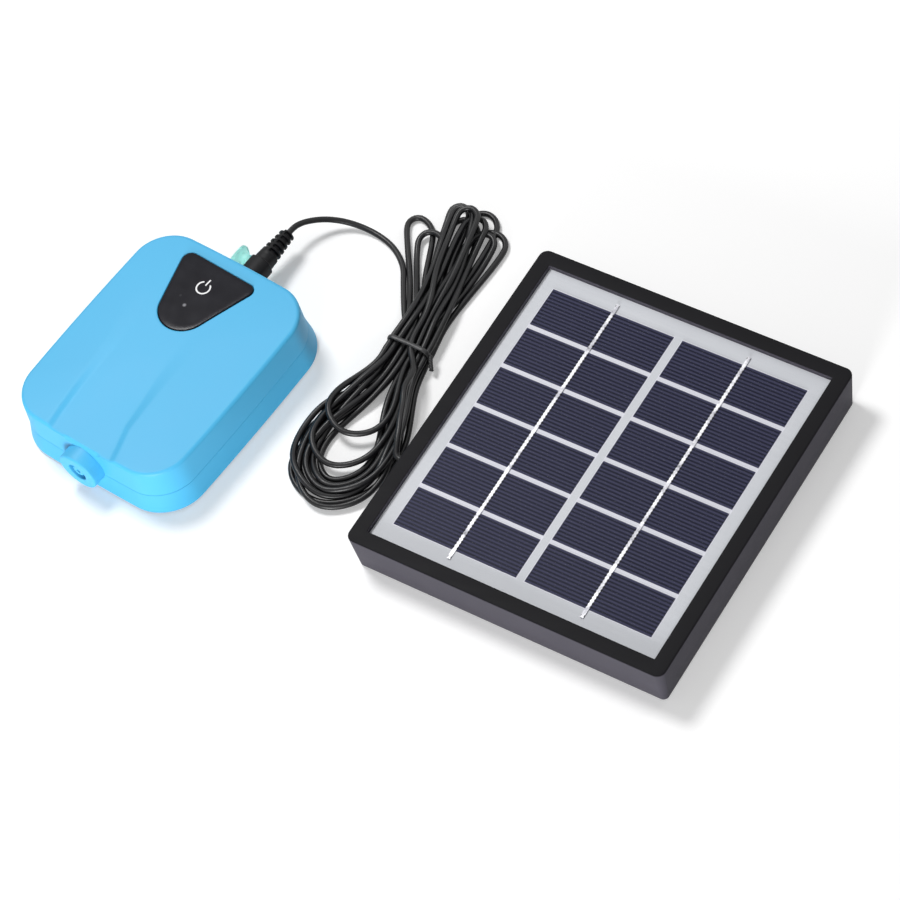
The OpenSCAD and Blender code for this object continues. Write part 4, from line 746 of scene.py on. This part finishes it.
# Points of an outline in given directions from a centre, which sees all of it
def seenFrom(outline, centre, angles):
    rel = outline - np.array(centre)
    at = np.arctan2(rel[:, 1], rel[:, 0])
    order = np.argsort(at)
    radius = np.interp(angles, at[order], np.hypot(*rel.T)[order], period=2*np.pi)
    return np.array(centre) + radius[:, None]*np.stack([np.cos(angles), np.sin(angles)], -1)


# How far the wall leans in at a height
def leanAt(z, s=caseSizes):
    return s["lean"]*z/s["edge"]


# How far the roof's tongue lies below the roof: full at the front, fading to the back, between two
# creases, each a smooth step across its line.
def tongueDepth(x, y, s=caseSizes):
    lines = [np.array(s[k]) for k in ("creaseLeft", "creaseRight")]
    left, right = (np.interp(y, line[:, 0], line[:, 1]) for line in lines)
    width = s["crease"]*(1 + s["creaseGrow"]*smooth(y, s["tongueFront"], s["creaseBack"]))
    ramps = [np.clip((x - left)/width, 0, 1), np.clip((right - x)/width, 0, 1)]
    soft = s["creaseRound"]
    inside = np.prod([(1 - soft)*ramp + soft*smooth(ramp) for ramp in ramps], axis=0)
    fade = 1 - smooth(y, s["tongueFront"], s["tongueBack"])
    return s["tongue"]*inside*fade


# Height of the roof: a crown over the share of the way out from the middle, less the tongue
def roofHeight(x, y, flat, s=caseSizes):
    rel = np.stack([x, y], -1).reshape(-1, 2)
    at = np.arctan2(rel[:, 1], rel[:, 0])
    edge = np.hypot(*(seenFrom(flat, (0, 0), at)).T)
    share = np.clip(np.hypot(*rel.T)/edge, 0, 1).reshape(np.shape(x))
    return s["edge"] + s["crown"]*(1 - share**2) - tongueDepth(x, y)


# Upper shell as rings, each seen from the key's middle: lip and wall by the lean at their height,
# the fillet by r(1 - cos t) inwards and r sin t upwards, the roof as edge + (mouth - edge) f at its
# own height, and then the key's opening, the ceiling and the wall's inside.
def upperShell(s, k):
    angles = np.linspace(-np.pi, np.pi, s["rays"], endpoint=False)
    flat = caseOutline(s["lean"] + s["fillet"])
    low, high = s["parting"] + s["seam"], s["edge"] - s["fillet"]
    brow = k["mouthRound"]
    rings = []

    def ring(outline):
        return seenFrom(outline, k["centre"], angles)

    def put(points, z):
        rings.append(np.c_[points, np.broadcast_to(z, len(points))])

    lip = ring(caseOutline(leanAt(low) + s["lip"]))
    put(lip, s["parting"] + s["tuck"])
    put(lip, low)
    put(ring(caseOutline(leanAt(low) + s["bevel"])), low)
    for z in [low + s["bevel"], *np.linspace(low + s["wallStart"], high, 22)]:
        put(ring(caseOutline(leanAt(z))), z)
    for t in np.linspace(0, np.pi/2, 11)[1:]:
        z = high + s["fillet"]*np.sin(t)
        curve = ring(caseOutline(leanAt(z) + s["fillet"]*(1 - np.cos(t))))
        put(curve, z - tongueDepth(curve[:, 0], curve[:, 1])*np.sin(t))
    edge, mouth = ring(flat), ring(keyOutline(k["gap"] + brow))
    for f in np.linspace(0, 1, 105)[1:]:
        points = edge + (mouth - edge)*f
        put(points, roofHeight(points[:, 0], points[:, 1], flat))
    # apron above the boss: what stands over its slope, from the boss's top to the roof, comes down
    wallY = s["halfLength"] - leanAt(s["padTop"])
    slope = (s["edge"] + s["crown"] - s["padTop"])/(wallY - s["padEdge"])
    for points in rings:
        over = np.maximum(points[:, 2] - s["padTop"] - (points[:, 1] + wallY)*slope, 0)
        over *= smooth(s["padHalf"] - np.abs(points[:, 0]), 0, s["padBlend"])*(points[:, 1] < 0)
        points[:, 2] -= over
    brim = roofHeight(mouth[:, 0], mouth[:, 1], flat)
    for t in np.linspace(0, np.pi/2, 6)[1:]:
        put(ring(keyOutline(k["gap"] + brow*(1 - np.sin(t)))), brim - brow*(1 - np.cos(t)))
    hole, inside = ring(keyOutline(k["gap"])), ring(caseOutline(s["lean"] + s["wall"]))
    put(hole, s["ceiling"])
    for f in (0.3, 0.7, 0.97):
        put(hole + (inside - hole)*f, s["ceiling"])
    put(inside, s["ceiling"] - s["innerRound"])
    put(inside, s["parting"] + s["tuck"])
    return ringSurface(np.stack(rings), loop=True)


# Lower shell as rings round the middle: the floor as shares of its outline, the foot's round edge by
# r(1 - sin t) inwards and r(1 - cos t) upwards, the wall, which spreads evenly from the parting to
# the foot, its lip, and the same way down inside.
def lowerShell(s):
    angles = np.linspace(-np.pi, np.pi, s["lowRays"], endpoint=False)
    high = s["parting"] - s["seam"]
    rings = []

    def ring(inset):
        return seenFrom(caseOutline(inset), (0, 0), angles)

    def spread(z):
        return leanAt(z) - s["spread"]*(s["parting"] - z)/s["parting"]

    def put(points, z):
        rings.append(np.c_[points, np.full(len(points), z)])

    under = ring(spread(s["foot"]) + s["footBevel"])
    for f in (0.2, 0.5, 0.8, 0.96):
        put(under*f, s["foot"])
    for t in np.linspace(0, np.pi/2, 8):
        z = s["foot"] + s["footBevel"]*(1 - np.cos(t))
        put(ring(spread(z) + s["footBevel"]*(1 - np.sin(t))), z)
    for z in np.linspace(s["foot"] + s["footBevel"] + s["wallStart"], high - s["bevel"], 10):
        put(ring(spread(z)), z)
    put(ring(leanAt(high) + s["bevel"]), high)
    put(ring(leanAt(high) + s["lip"]), high)
    put(ring(leanAt(high) + s["lip"]), s["parting"] - s["tuck"])
    inside = ring(leanAt(high) + s["wall"])
    put(inside, s["parting"] - s["tuck"])
    put(inside, s["floorTop"] + s["floorRound"])
    for f in (0.985, 0.7, 0.35):
        put(inside*f, s["floorTop"])
    return ringSurface(np.stack(rings), poles=((0, 0, s["foot"]), (0, 0, s["floorTop"])))


# Moulded satin plastic: faint mottling, fine grain and a long soft waviness
def caseFinish(nodes):
    cloud, grain = nodes.noise(22, 2), nodes.noise(0.45, 3, 0.55)
    tone = cloud*0.7 + grain*0.3
    return {
        "Base Color": nodes.blend(tone, tint(70, 176, 224), tint(80, 184, 230)),
        "Roughness": grain*0.1 + cloud*0.08 + 0.42,
        "Specular IOR Level": 0.4,
        "Normal": nodes.bump(grain + cloud*2, 0.03, 0.35),
    }


caseLook = makeFinish("bluePlastic", caseFinish)
upper = putPiece("upperShell", upperShell(caseSizes, keySizes), caseLook, ("upper_shell",))
lower = putPiece("lowerShell", lowerShell(caseSizes), caseLook, ("lower_shell",))


# Holes in mm: outlet, plug and the flap's root in both shells, and in the lower one the screws, the
# feet and a ring of air holes
holeSizes = {
    "outlet": 8.75, "outletZ": 12.5, "outletY": (-60, -43), "plug": 3.3, "plugZ": 10.2, "plugY": (44, 56),
    "flapLow": (-10.15, 44, 8.0), "flapHigh": (-9.05, 56, 12.2), "under": -1,
    "screw": 2.8, "screwX": 29.99, "screwY": (-38.99, 41.99), "screwTop": 2.4,
    "foot": 4.05, "footX": 28.18, "footY": 27.96, "footTop": 1.3,
    "air": 0.75, "airAt": (19.2, -35.2), "airRing": 2.8, "airTurns": (0, 60, 120, 180, 240, 300),
    "airTop": 4,
}


# A cutter for each hole of one shell: all are round bars but the flap's root, a block
def holeCutters(s, tag):
    (front, back), (inner, outer) = s["outletY"], s["plugY"]
    shapes = [bar(s["outlet"], (0, front, s["outletZ"]), (0, back, s["outletZ"]), 96),
              bar(s["plug"], (0, inner, s["plugZ"]), (0, outer, s["plugZ"])),
              block(s["flapLow"], s["flapHigh"])]
    if tag == "lower":
        airX, airY = s["airAt"]
        ways = [(s["airRing"]*math.cos(t), s["airRing"]*math.sin(t)) for t in np.radians(s["airTurns"])]
        under = [(s["screw"], sx*s["screwX"], y, s["screwTop"], 48) for sx in (-1, 1) for y in s["screwY"]]
        under += [(s["foot"], sx*s["footX"], sy*s["footY"], s["footTop"], 48)
                  for sx in (-1, 1) for sy in (-1, 1)]
        under += [(s["air"], airX + dx, airY + dy, s["airTop"], 20) for dx, dy in ways]
        shapes += [bar(radius, (x, y, s["under"]), (x, y, top), sides)
                   for radius, x, y, top, sides in under]
    return [putPiece(tag + "Cutter", shape, None) for shape in shapes]


cutOut(upper, holeCutters(holeSizes, "upper"))
cutOut(lower, holeCutters(holeSizes, "lower"))
print("shells made:", len(upper.data.polygons), len(lower.data.polygons))

# Outlet boss with the nipple inside, in mm: distances run forwards from the case's middle
outletSizes = {"z": 12.5, "radius": 8.65, "front": 54.2, "bore": 4.0, "boreEnd": 48.2,
               "nipple": 2.45, "tip": 53.5, "air": 0.95, "back": 42.6, "rim": 9.2, "rimBack": 44.7,
               "rimFront": 46.2, "rounds": [0, 0.3, 0, 0.2, 0.2, 0, 0.95, 0.55, 0.3, 0.2, 0.4, 0.25]}


# One closed profile with rounded corners, turned round the outlet's axis
def outletSurface(s):
    corners = [(s["air"], s["back"]), (s["nipple"], s["back"]), (s["nipple"], s["rimBack"]),
               (s["rim"], s["rimBack"]), (s["rim"], s["rimFront"]), (s["radius"], s["rimFront"]),
               (s["radius"], s["front"]), (s["bore"], s["front"]), (s["bore"], s["boreEnd"]),
               (s["nipple"], s["boreEnd"]), (s["nipple"], s["tip"]), (s["air"], s["tip"])]
    return lathe(roundProfile(corners, s["rounds"], closed=True), (0, 0, s["z"]), (0, -1, 0))


putPiece("outletBoss", outletSurface(outletSizes), caseLook, ("outlet_collar",))


# Key as rings of its outline: rim under the roof, upright side, edge rounded by r(1 - cos t) inwards
# and r(1 - sin t) down from the flat top, with its plunger below
def keySurfaces(s):
    angles = np.linspace(-np.pi, np.pi, s["rays"], endpoint=False)
    middle = np.array(s["centre"])
    levels = [(s["rimOut"], s["rimLow"]), (s["rimOut"], s["rimTop"]), (0, s["rimTop"])]
    levels += [(-s["round"]*(1 - np.cos(t)), s["top"] - s["round"]*(1 - np.sin(t)))
               for t in np.linspace(0, np.pi/2, 8)]
    rings = [np.c_[seenFrom(keyOutline(grow), middle, angles), np.full(len(angles), z)]
             for grow, z in levels]
    top = rings[-1][:, :2]
    rings += [np.c_[middle + (top - middle)*f, np.full(len(angles), s["top"])] for f in (0.9, 0.6, 0.25)]
    body = ringSurface(np.stack(rings), poles=((*middle, s["rimLow"]), (*middle, s["top"])))
    x, y = s["plungerAt"]
    return [body, bar(s["plungerRadius"], (x, y, s["rimLow"]), (x, y, s["plungerLow"]))]


# Smoked gloss with a pale lamp glimpsed through it, as a soft round spot, and a second one faint
def keyFinish(nodes, s=keySizes):
    x, y, z = nodes.axes()
    away, faint = (((x - lampX)**2 + (y - lampY)**2)**0.5
                   for lampX, lampY in (s["lampAt"], s["dimLampAt"]))
    spot = (1 - away.rise(0.25, 1.0))*0.8 + (1 - faint.rise(0.2, 0.8))*0.06
    haze = nodes.noise(6, 3)
    smoke = nodes.blend(haze, tint(13, 12, 19), tint(24, 24, 32))
    return {
        "Base Color": nodes.blend(spot, smoke, tint(150, 150, 155)),
        "Roughness": haze*0.08 + 0.12,
        "Specular IOR Level": 0.16,
        "Normal": nodes.bump(haze, 0.05, 0.2),
    }


# Flat white print
def iconFinish(nodes):
    grain = nodes.noise(0.3, 2)
    return {"Base Color": nodes.blend(grain, tint(226, 226, 228), tint(245, 245, 246)),
            "Roughness": grain*0.1 + 0.4}


# Printed power symbol: an open ring and a bar, each a flat section carried along its line
def iconSurfaces(s):
    x, y = s["iconAt"]
    z = s["top"] + s["iconHigh"]/2
    w, h = s["iconWidth"], s["iconHigh"]
    section = np.array([(w, h), (-w, h), (-w, -h), (w, -h)])
    turn = np.radians(np.linspace(s["iconOpen"] + s["iconGap"], s["iconOpen"] + 360 - s["iconGap"], 72))
    ring = np.stack([x + s["iconRadius"]*np.cos(turn), y + s["iconRadius"]*np.sin(turn), 0*turn + z], -1)
    low, high = ((x + dx, y + dy, z) for dx, dy in s["iconBar"])
    return [sweep(ring, section), sweep(np.linspace(low, high, 4), section)]


# Frosted silicone: pale mint, a little see-through, cloudy inside
def siliconeFinish(nodes):
    cloud, grain = nodes.noise(2.5, 3), nodes.noise(0.3, 2)
    return {"Base Color": nodes.blend(cloud, tint(168, 242, 232), tint(196, 252, 244)),
            "Roughness": grain*0.1 + 0.3, "Transmission Weight": 0.8, "IOR": 1.2,
            "Normal": nodes.bump(grain, 0.03, 0.4)}


# Dust flap in mm: its leaf stands along Y and narrows through a fillet to the stud, which points
# towards the socket; the pin is the joint's axis
flapSizes = {
    "back": -10.35, "thick": 1.4, "start": 50.5, "length": 10.3, "z": 10.1, "half": 4.0, "power": 3.4,
    "studY": 56.4, "stud": 2.5, "fillet": 1.1, "tip": -5.5, "pin": (-9.6, 50.239), "knuckle": 1.1,
}


# Rings at places along X, each at a share f of the way from leaf to stud and with a scale: a
# superellipse |y/a|^n + |z/b|^n = 1
def flapSurfaces(s):
    turn = np.linspace(0, 2*np.pi, 72, endpoint=False)
    leafY = s["start"] + s["length"]/2
    face = s["back"] + s["thick"]
    stations = [(s["back"], 0, 0.9), (s["back"] + 0.06, 0, 0.97), (s["back"] + 0.25, 0, 1),
                (face - 0.2, 0, 1), (face - 0.04, 0.02, 1), (face, 0.1, 1)]
    stations += [(face + s["fillet"]*(1 - math.cos(t)), 0.12 + 0.88*math.sin(t), 1)
                 for t in np.linspace(0.1, math.pi/2, 12)]
    stations += [(x, 1, 1) for x in (s["tip"] - 0.5, s["tip"] - 0.3)]
    stations += [(s["tip"] - 0.08, 1, 0.95), (s["tip"], 1, 0.84)]
    rings = []
    for x, f, scale in stations:
        a = (s["length"]/2*(1 - f) + s["stud"]*f)*scale
        b = (s["half"]*(1 - f) + s["stud"]*f)*scale
        n = s["power"]*(1 - f) + 2*f
        y0 = leafY*(1 - f) + s["studY"]*f
        grow = (np.abs(np.cos(turn))**n + np.abs(np.sin(turn))**n)**(-1/n)
        rings.append(np.stack([0*turn + x, y0 + a*grow*np.cos(turn), s["z"] + b*grow*np.sin(turn)], -1))
    leaf = ringSurface(np.stack(rings), poles=(rings[0].mean(0), rings[-1].mean(0)))
    x, y = s["pin"]
    return [leaf, bar(s["knuckle"], (x, y, s["z"] - s["half"]), (x, y, s["z"] + s["half"]), 32)]


siliconeLook = makeFinish("mintSilicone", siliconeFinish)
putPiece("flapLeaf", flapSurfaces(flapSizes), siliconeLook, ("dust_flap",), "flap", 50)

keyLook = makeFinish("smokedKey", keyFinish)
putPiece("keyCap", keySurfaces(keySizes), keyLook, ("power_key",), "key")
printLook = makeFinish("whitePrint", iconFinish)
putPiece("powerMark", iconSurfaces(keySizes), printLook, (), "key")
print("key and outlet made")


# Solar panel in mm: its middle and turn in degrees, and its frame
panelSizes = {
    "at": (168.37, 49.74), "turn": 5.233, "halfWidth": 66.25, "halfLength": 71.0, "height": 18.8,
    "border": 6.2, "corner": 3.5, "leastCorner": 0.25, "lean": 1.3, "edge": 0.75, "innerEdge": 0.3,
    "wall": 2.2, "backing": 14.7, "shelf": 13.2, "shelfWidth": 4.0, "ledgeRound": 0.1, "footRound": 0.4,
    "glandY": -29.0, "glandZ": 9.8, "glandHole": 2.6, "glandX": (-72.0, -60.0),
}


# Rounded rectangle with the same count of points for every size, so that rings match
def panelRing(inset, z, radius, s):
    arcs = cornerArcs(s["halfWidth"] - inset, s["halfLength"] - inset, radius, np.linspace(0, np.pi/2, 14))
    t = np.linspace(0, 1, 26)[1:-1, None]
    sides = [arcs[k][-1]*(1 - t) + arcs[(k + 1) % 4][0]*t for k in range(4)]
    flat = np.concatenate([part for pair in zip(arcs, sides) for part in pair])
    return np.c_[flat, np.full(len(flat), z)]


# Points of the panel's own axes in the frame: turned, then moved
def onPanel(points, s=panelSizes):
    a = math.radians(s["turn"])
    x, y = points[..., 0], points[..., 1]
    return np.stack([s["at"][0] + x*math.cos(a) - y*math.sin(a),
                     s["at"][1] + x*math.sin(a) + y*math.cos(a), points[..., 2]], -1)


# Frame: one closed profile of insets and heights, carried round the panel
def frameSurface(s):
    h, border, ledge = s["height"], s["border"], s["ledgeRound"]
    corners = [(s["lean"], 0), (0, h), (border, h), (border, s["backing"]),
               (border + s["shelfWidth"], s["backing"]), (border + s["shelfWidth"], s["shelf"]),
               (s["lean"] + s["wall"], s["shelf"]), (s["lean"] + s["wall"], 0)]
    rounds = [s["footRound"], s["edge"], s["innerEdge"], *[ledge]*4, s["innerEdge"]]
    profile = roundProfile(corners, rounds, closed=True, steps=7)
    rings = [panelRing(inset, z, max(s["corner"] - inset, s["leastCorner"]), s) for inset, z in profile]
    points, quads, fans = ringSurface(np.stack(rings), loop=True)
    return onPanel(points), quads, fans


# Moulded black with a fine sandy grain and a few long scuffs; the upright faces are a lighter grey than
# the top, a painted sheen
def frameFinish(nodes):
    sand, cloud = nodes.noise(0.28, 3, 0.6), nodes.noise(14, 3)
    scuff = nodes.noise(3.2, 2, 0.5, (6, 1, 1), math.radians(20))
    # painted sheen: faces that turn away from up get a lighter grey base colour than the top
    normal = nodes.add("ShaderNodeNewGeometry", output="Normal")
    facing = nodes.add("ShaderNodeSeparateXYZ", values=[normal])
    sheenFacingMask = Wire(nodes, facing.socket.node.outputs["Z"]).rise(0.25, 0.8)
    side = nodes.blend(cloud*0.6 + scuff*0.4, tint(60, 58, 66), tint(74, 72, 80))
    top = nodes.blend(cloud*0.6 + scuff*0.4, tint(10, 10, 12), tint(20, 19, 23))
    return {
        "Base Color": nodes.blend(sheenFacingMask, side, top),
        "Roughness": sand*0.14 + scuff*0.1 + 0.42, "Specular IOR Level": 0.09,
        "Normal": nodes.bump(sand + scuff*0.3, 0.06, 0.6),
    }


frameLook = makeFinish("frameBlack", frameFinish)
panelFrame = putPiece("panelFrame", frameSurface(panelSizes), frameLook,
                      ("panel_frame",), sharp=50)
glandEnds = [onPanel(np.array([x, panelSizes["glandY"], panelSizes["glandZ"]]))
             for x in panelSizes["glandX"]]
glandHole = bar(panelSizes["glandHole"], *glandEnds)
cutOut(panelFrame, [putPiece("glandCutter", glandHole, None)], 50)
print("panel frame made")


# Place along the panel's width and length, in mm
def panelAxes(nodes, s=panelSizes):
    x, y, z = nodes.axes()
    a = math.radians(s["turn"])
    dx, dy = x - s["at"][0], y - s["at"][1]
    return dx*math.cos(a) + dy*math.sin(a), dy*math.cos(a) - dx*math.sin(a)


# Cells in mm: their size, columns and rows, and the pitch of their fingers
cellSizes = {"length": 52.0, "width": 17.33, "columnX": 27.87, "rowPitch": 19.33, "rowStart": 1.0,
             "rowsEachSide": 3, "finger": 1.506}


# Distance from a cell's lower edge, and the fingers as 0.5 + 0.5 sin of it
def fingerWave(v, s):
    rowV = (v + s["rowsEachSide"]*s["rowPitch"] - s["rowStart"]) % s["rowPitch"]
    return rowV, (rowV*(2*math.pi/s["finger"])).sine()*0.5 + 0.5


# Cells: fine pale fingers across each cell, painted shade as small near-black dashes beside the
# ribbon between the fingers, and a crystal mottling
def cellFinish(nodes, s=cellSizes):
    u, v = panelAxes(nodes)
    rowV, wave = fingerWave(v, s)
    fromRibbon = abs(abs(u) - s["columnX"])
    # painted shade: near-black dashes in the gaps between fingers, within about a millimetre of the ribbon
    shadeDash = (1 - fromRibbon.rise(1.0, 1.25))*(1 - wave.rise(0.35, 0.65))
    crystal = nodes.add("ShaderNodeTexVoronoi", {}, {"Vector": nodes.place(), "Scale": 160.0}, "Color")
    tone = nodes.add("ShaderNodeSeparateColor", values=[crystal])
    cloud = nodes.noise(30, 2)
    base = nodes.blend(tone*0.5 + cloud*0.5, tint(12, 14, 30), tint(21, 22, 40))
    fingers = nodes.blend(wave, base, tint(62, 63, 88))
    return {
        "Base Color": nodes.blend(shadeDash, fingers, tint(3, 3, 6)),
        "Roughness": wave*0.12 + 0.34,
        "Specular IOR Level": 0.06,
    }


# Backing sheet: pale grey with faint streaks, brighter between the rows and in a thin line that
# frames each cell
def backingFinish(nodes, s=cellSizes):
    u, v = panelAxes(nodes)
    a = math.radians(panelSizes["turn"])
    streaks = nodes.noise(1.3, 3, 0.6, (26, 1, 1), a)
    cloud = nodes.noise(24, 2)
    outU = abs(abs(u) - s["columnX"]) - s["length"]/2
    outV = abs(v) - (s["rowsEachSide"]*s["rowPitch"] - (s["rowPitch"] - s["width"])/2)
    bright = (1 - outU.rise(0.3, 0.6))*(1 - outV.rise(0.3, 0.6))
    grey = nodes.blend(streaks*0.6 + cloud*0.4, tint(194, 197, 203), tint(216, 218, 223))
    return {
        "Base Color": nodes.blend(bright*0.8, grey, tint(232, 232, 242)),
        "Roughness": streaks*0.15 + 0.4,
        "Specular IOR Level": 0.3,
        "Normal": nodes.bump(streaks, 0.02, 0.4),
    }


# Tinned ribbon: bright, with dull patches, ripples along it and painted shade as dark dashes in its
# rims where they cross the gaps of a cell's fingers
def ribbonFinish(nodes, s=cellSizes):
    a = math.radians(panelSizes["turn"])
    ripple, patch = nodes.noise(2.2, 3, 0.6, (0.6, 2.5, 1), a), nodes.noise(5, 3, 0.7)
    u, v = panelAxes(nodes)
    rowV, wave = fingerWave(v, s)
    rim = abs(abs(u) - s["columnX"]).rise(0.42, 0.56)
    # painted shade: dark dashes on the ribbon's rims between the fingers
    rimShadeDashes = rim*(1 - wave.rise(0.35, 0.65))*(rowV < s["width"])
    worn = (1 - patch.rise(0.3, 0.36))*0.6
    bright = nodes.blend(patch.rise(0.35, 0.62), tint(178, 178, 186), tint(246, 246, 250))
    return {
        "Base Color": nodes.blend(rimShadeDashes + worn, bright, tint(22, 22, 28)),
        "Metallic": patch*0.15 + 0.1,
        "Roughness": ripple*0.3 + 0.25,
        "Normal": nodes.bump(ripple, 0.12, 0.8),
    }


# Clear cover: nearly all see-through, with a faint cloud of gloss
def coverFinish(nodes):
    cloud = nodes.noise(20, 2)
    return {"Base Color": (0.3, 0.31, 0.33, 1), "Roughness": cloud*0.06 + 0.06,
            "Alpha": cloud*0.006 + 0.004, "Normal": nodes.bump(cloud, 0.02, 0.1)}


# Copy of a CAD node's mesh, merged, with its points moved by a function of their places in mm
def reshaped(name, node, move):
    work = bmesh.new()
    work.from_mesh(frame["nodes"][node].data)
    bmesh.ops.remove_doubles(work, verts=work.verts, dist=1e-6)
    mesh = bpy.data.meshes.new(name)
    work.to_mesh(mesh)
    work.free()
    places = np.empty(len(mesh.vertices)*3)
    mesh.vertices.foreach_get("co", places)
    mesh.vertices.foreach_set("co", (move(places.reshape(-1, 3)/mm)*mm).ravel())
    mesh.update()
    piece = bpy.data.objects.new(name, mesh)
    scene.collection.objects.link(piece)
    return piece


# The cover is a thin film in the picture, in mm, and what lies under it comes up to the film
filmSizes = {"lift": 0.95, "film": 0.2}


# All points go up by the lift
def lifted(points):
    return points + np.array([0, 0, filmSizes["lift"]])


# Only the points of the upper face go up
def topLifted(points):
    middle = (points[:, 2].min() + points[:, 2].max())/2
    return points + np.outer(points[:, 2] > middle, [0, 0, filmSizes["lift"]])


# The lower face comes up to the film's thickness below the upper one
def thinned(points):
    top = points[:, 2].max()
    low = np.where(points[:, 2] < (points[:, 2].min() + top)/2, top - filmSizes["film"], points[:, 2])
    return np.c_[points[:, :2], low]


laminateLooks = {}
for pieceName, node, move, makeLook, slotName in (
        ("laminateBacking", "backing_sheet", topLifted, backingFinish, "white_backing"),
        ("laminateCells", "solar_cells", lifted, cellFinish, "navy_cell"),
        ("laminateRibbons", "bus_ribbons", lifted, ribbonFinish, "tin_ribbon"),
        ("laminateFilm", "cover_sheet", thinned, coverFinish, "clear_cover")):
    piece = reshaped(pieceName, node, move)
    laminateLooks[slotName] = makeFinish(pieceName + "Look", makeLook)
    piece.data.materials.clear()
    piece.data.materials.append(laminateLooks[slotName])
    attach(piece, "root")
    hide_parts(node)
print("laminate made")


# Grained finish of one colour: its light and dark, grain in mm, roughness, metal and bump depth
def plainFinish(low, high, grain, rough, metal=0.0, depth=0.03, stretch=(1, 1, 1)):
    def build(nodes):
        fine, cloud = nodes.noise(grain, 3, 0.6, stretch), nodes.noise(grain*14, 2)
        return {"Base Color": nodes.blend(fine*0.5 + cloud*0.5, tint(*low), tint(*high)),
                "Roughness": fine*0.16 + rough, "Metallic": metal,
                "Normal": nodes.bump(fine, depth, 0.5)}
    return build


# Wound wire: enamel copper with ridges across the turns
def copperFinish(nodes):
    x, y, z = nodes.axes()
    turns = (x*18).sine()*0.5 + 0.5
    grain = nodes.noise(0.4, 2)
    return {"Base Color": nodes.blend(turns, tint(120, 60, 36), tint(206, 120, 78)),
            "Metallic": 0.8, "Roughness": grain*0.2 + 0.25, "Normal": nodes.bump(turns, 0.1, 0.7)}


# Finishes of the CAD nodes that stay as they are, by material slot: a plain one has its name and then
# the values of plainFinish
plainLooks = {
    "black_rubber": ("matRubber", (28, 28, 30), (44, 44, 46), 0.4, 0.55),
    "zinc_steel": ("zincSteel", (150, 152, 156), (190, 192, 196), 0.3, 0.26, 0.9, 0.02, (4, 1, 1)),
    "brass": ("turnedBrass", (178, 140, 66), (214, 180, 100), 0.3, 0.22, 0.9, 0.02),
    "ferrite": ("groundFerrite", (48, 48, 50), (74, 74, 76), 0.3, 0.5, 0.2),
    "white_nylon": ("whiteNylon", (222, 221, 214), (240, 239, 234), 0.5, 0.36),
    "green_board": ("greenBoard", (16, 78, 40), (30, 104, 58), 0.6, 0.3),
    "battery_wrap": ("batteryWrap", (34, 66, 140), (48, 84, 168), 1.2, 0.22),
    "red_wire": ("wireSheath", (150, 26, 22), (188, 40, 34), 0.5, 0.4),
    "felt": ("pressedFelt", (196, 195, 190), (232, 231, 226), 0.25, 0.8, 0, 0.15),
}
finishes = {
    "blue_case": caseLook, "black_key": keyLook, "black_cord": cordLook, "black_frame": frameLook,
    "clear_silicone": siliconeLook, "copper": makeFinish("woundCopper", copperFinish), **laminateLooks,
}
for slotName, (lookName, *values) in plainLooks.items():
    finishes[slotName] = makeFinish(lookName, plainFinish(*values))
boardLook = makeFinish("boardParts", plainFinish((34, 34, 36), (58, 58, 60), 0.4, 0.35))
glandLook = makeFinish("glandRubber", plainFinish((30, 30, 32), (44, 44, 46), 0.4, 0.45))
byNode = {"board_parts": boardLook, "tact_switch": boardLook, "cord_gland": glandLook}
for part in frame["record"]["subparts"]:
    node = frame["nodes"][part["node"]]
    look = byNode.get(part["node"], finishes[part["material_slot"]])
    if not node.material_slots:
        node.data.materials.append(look)
    for held in node.material_slots:
        held.material = look
print("finishes given to", len(frame["nodes"]), "nodes")
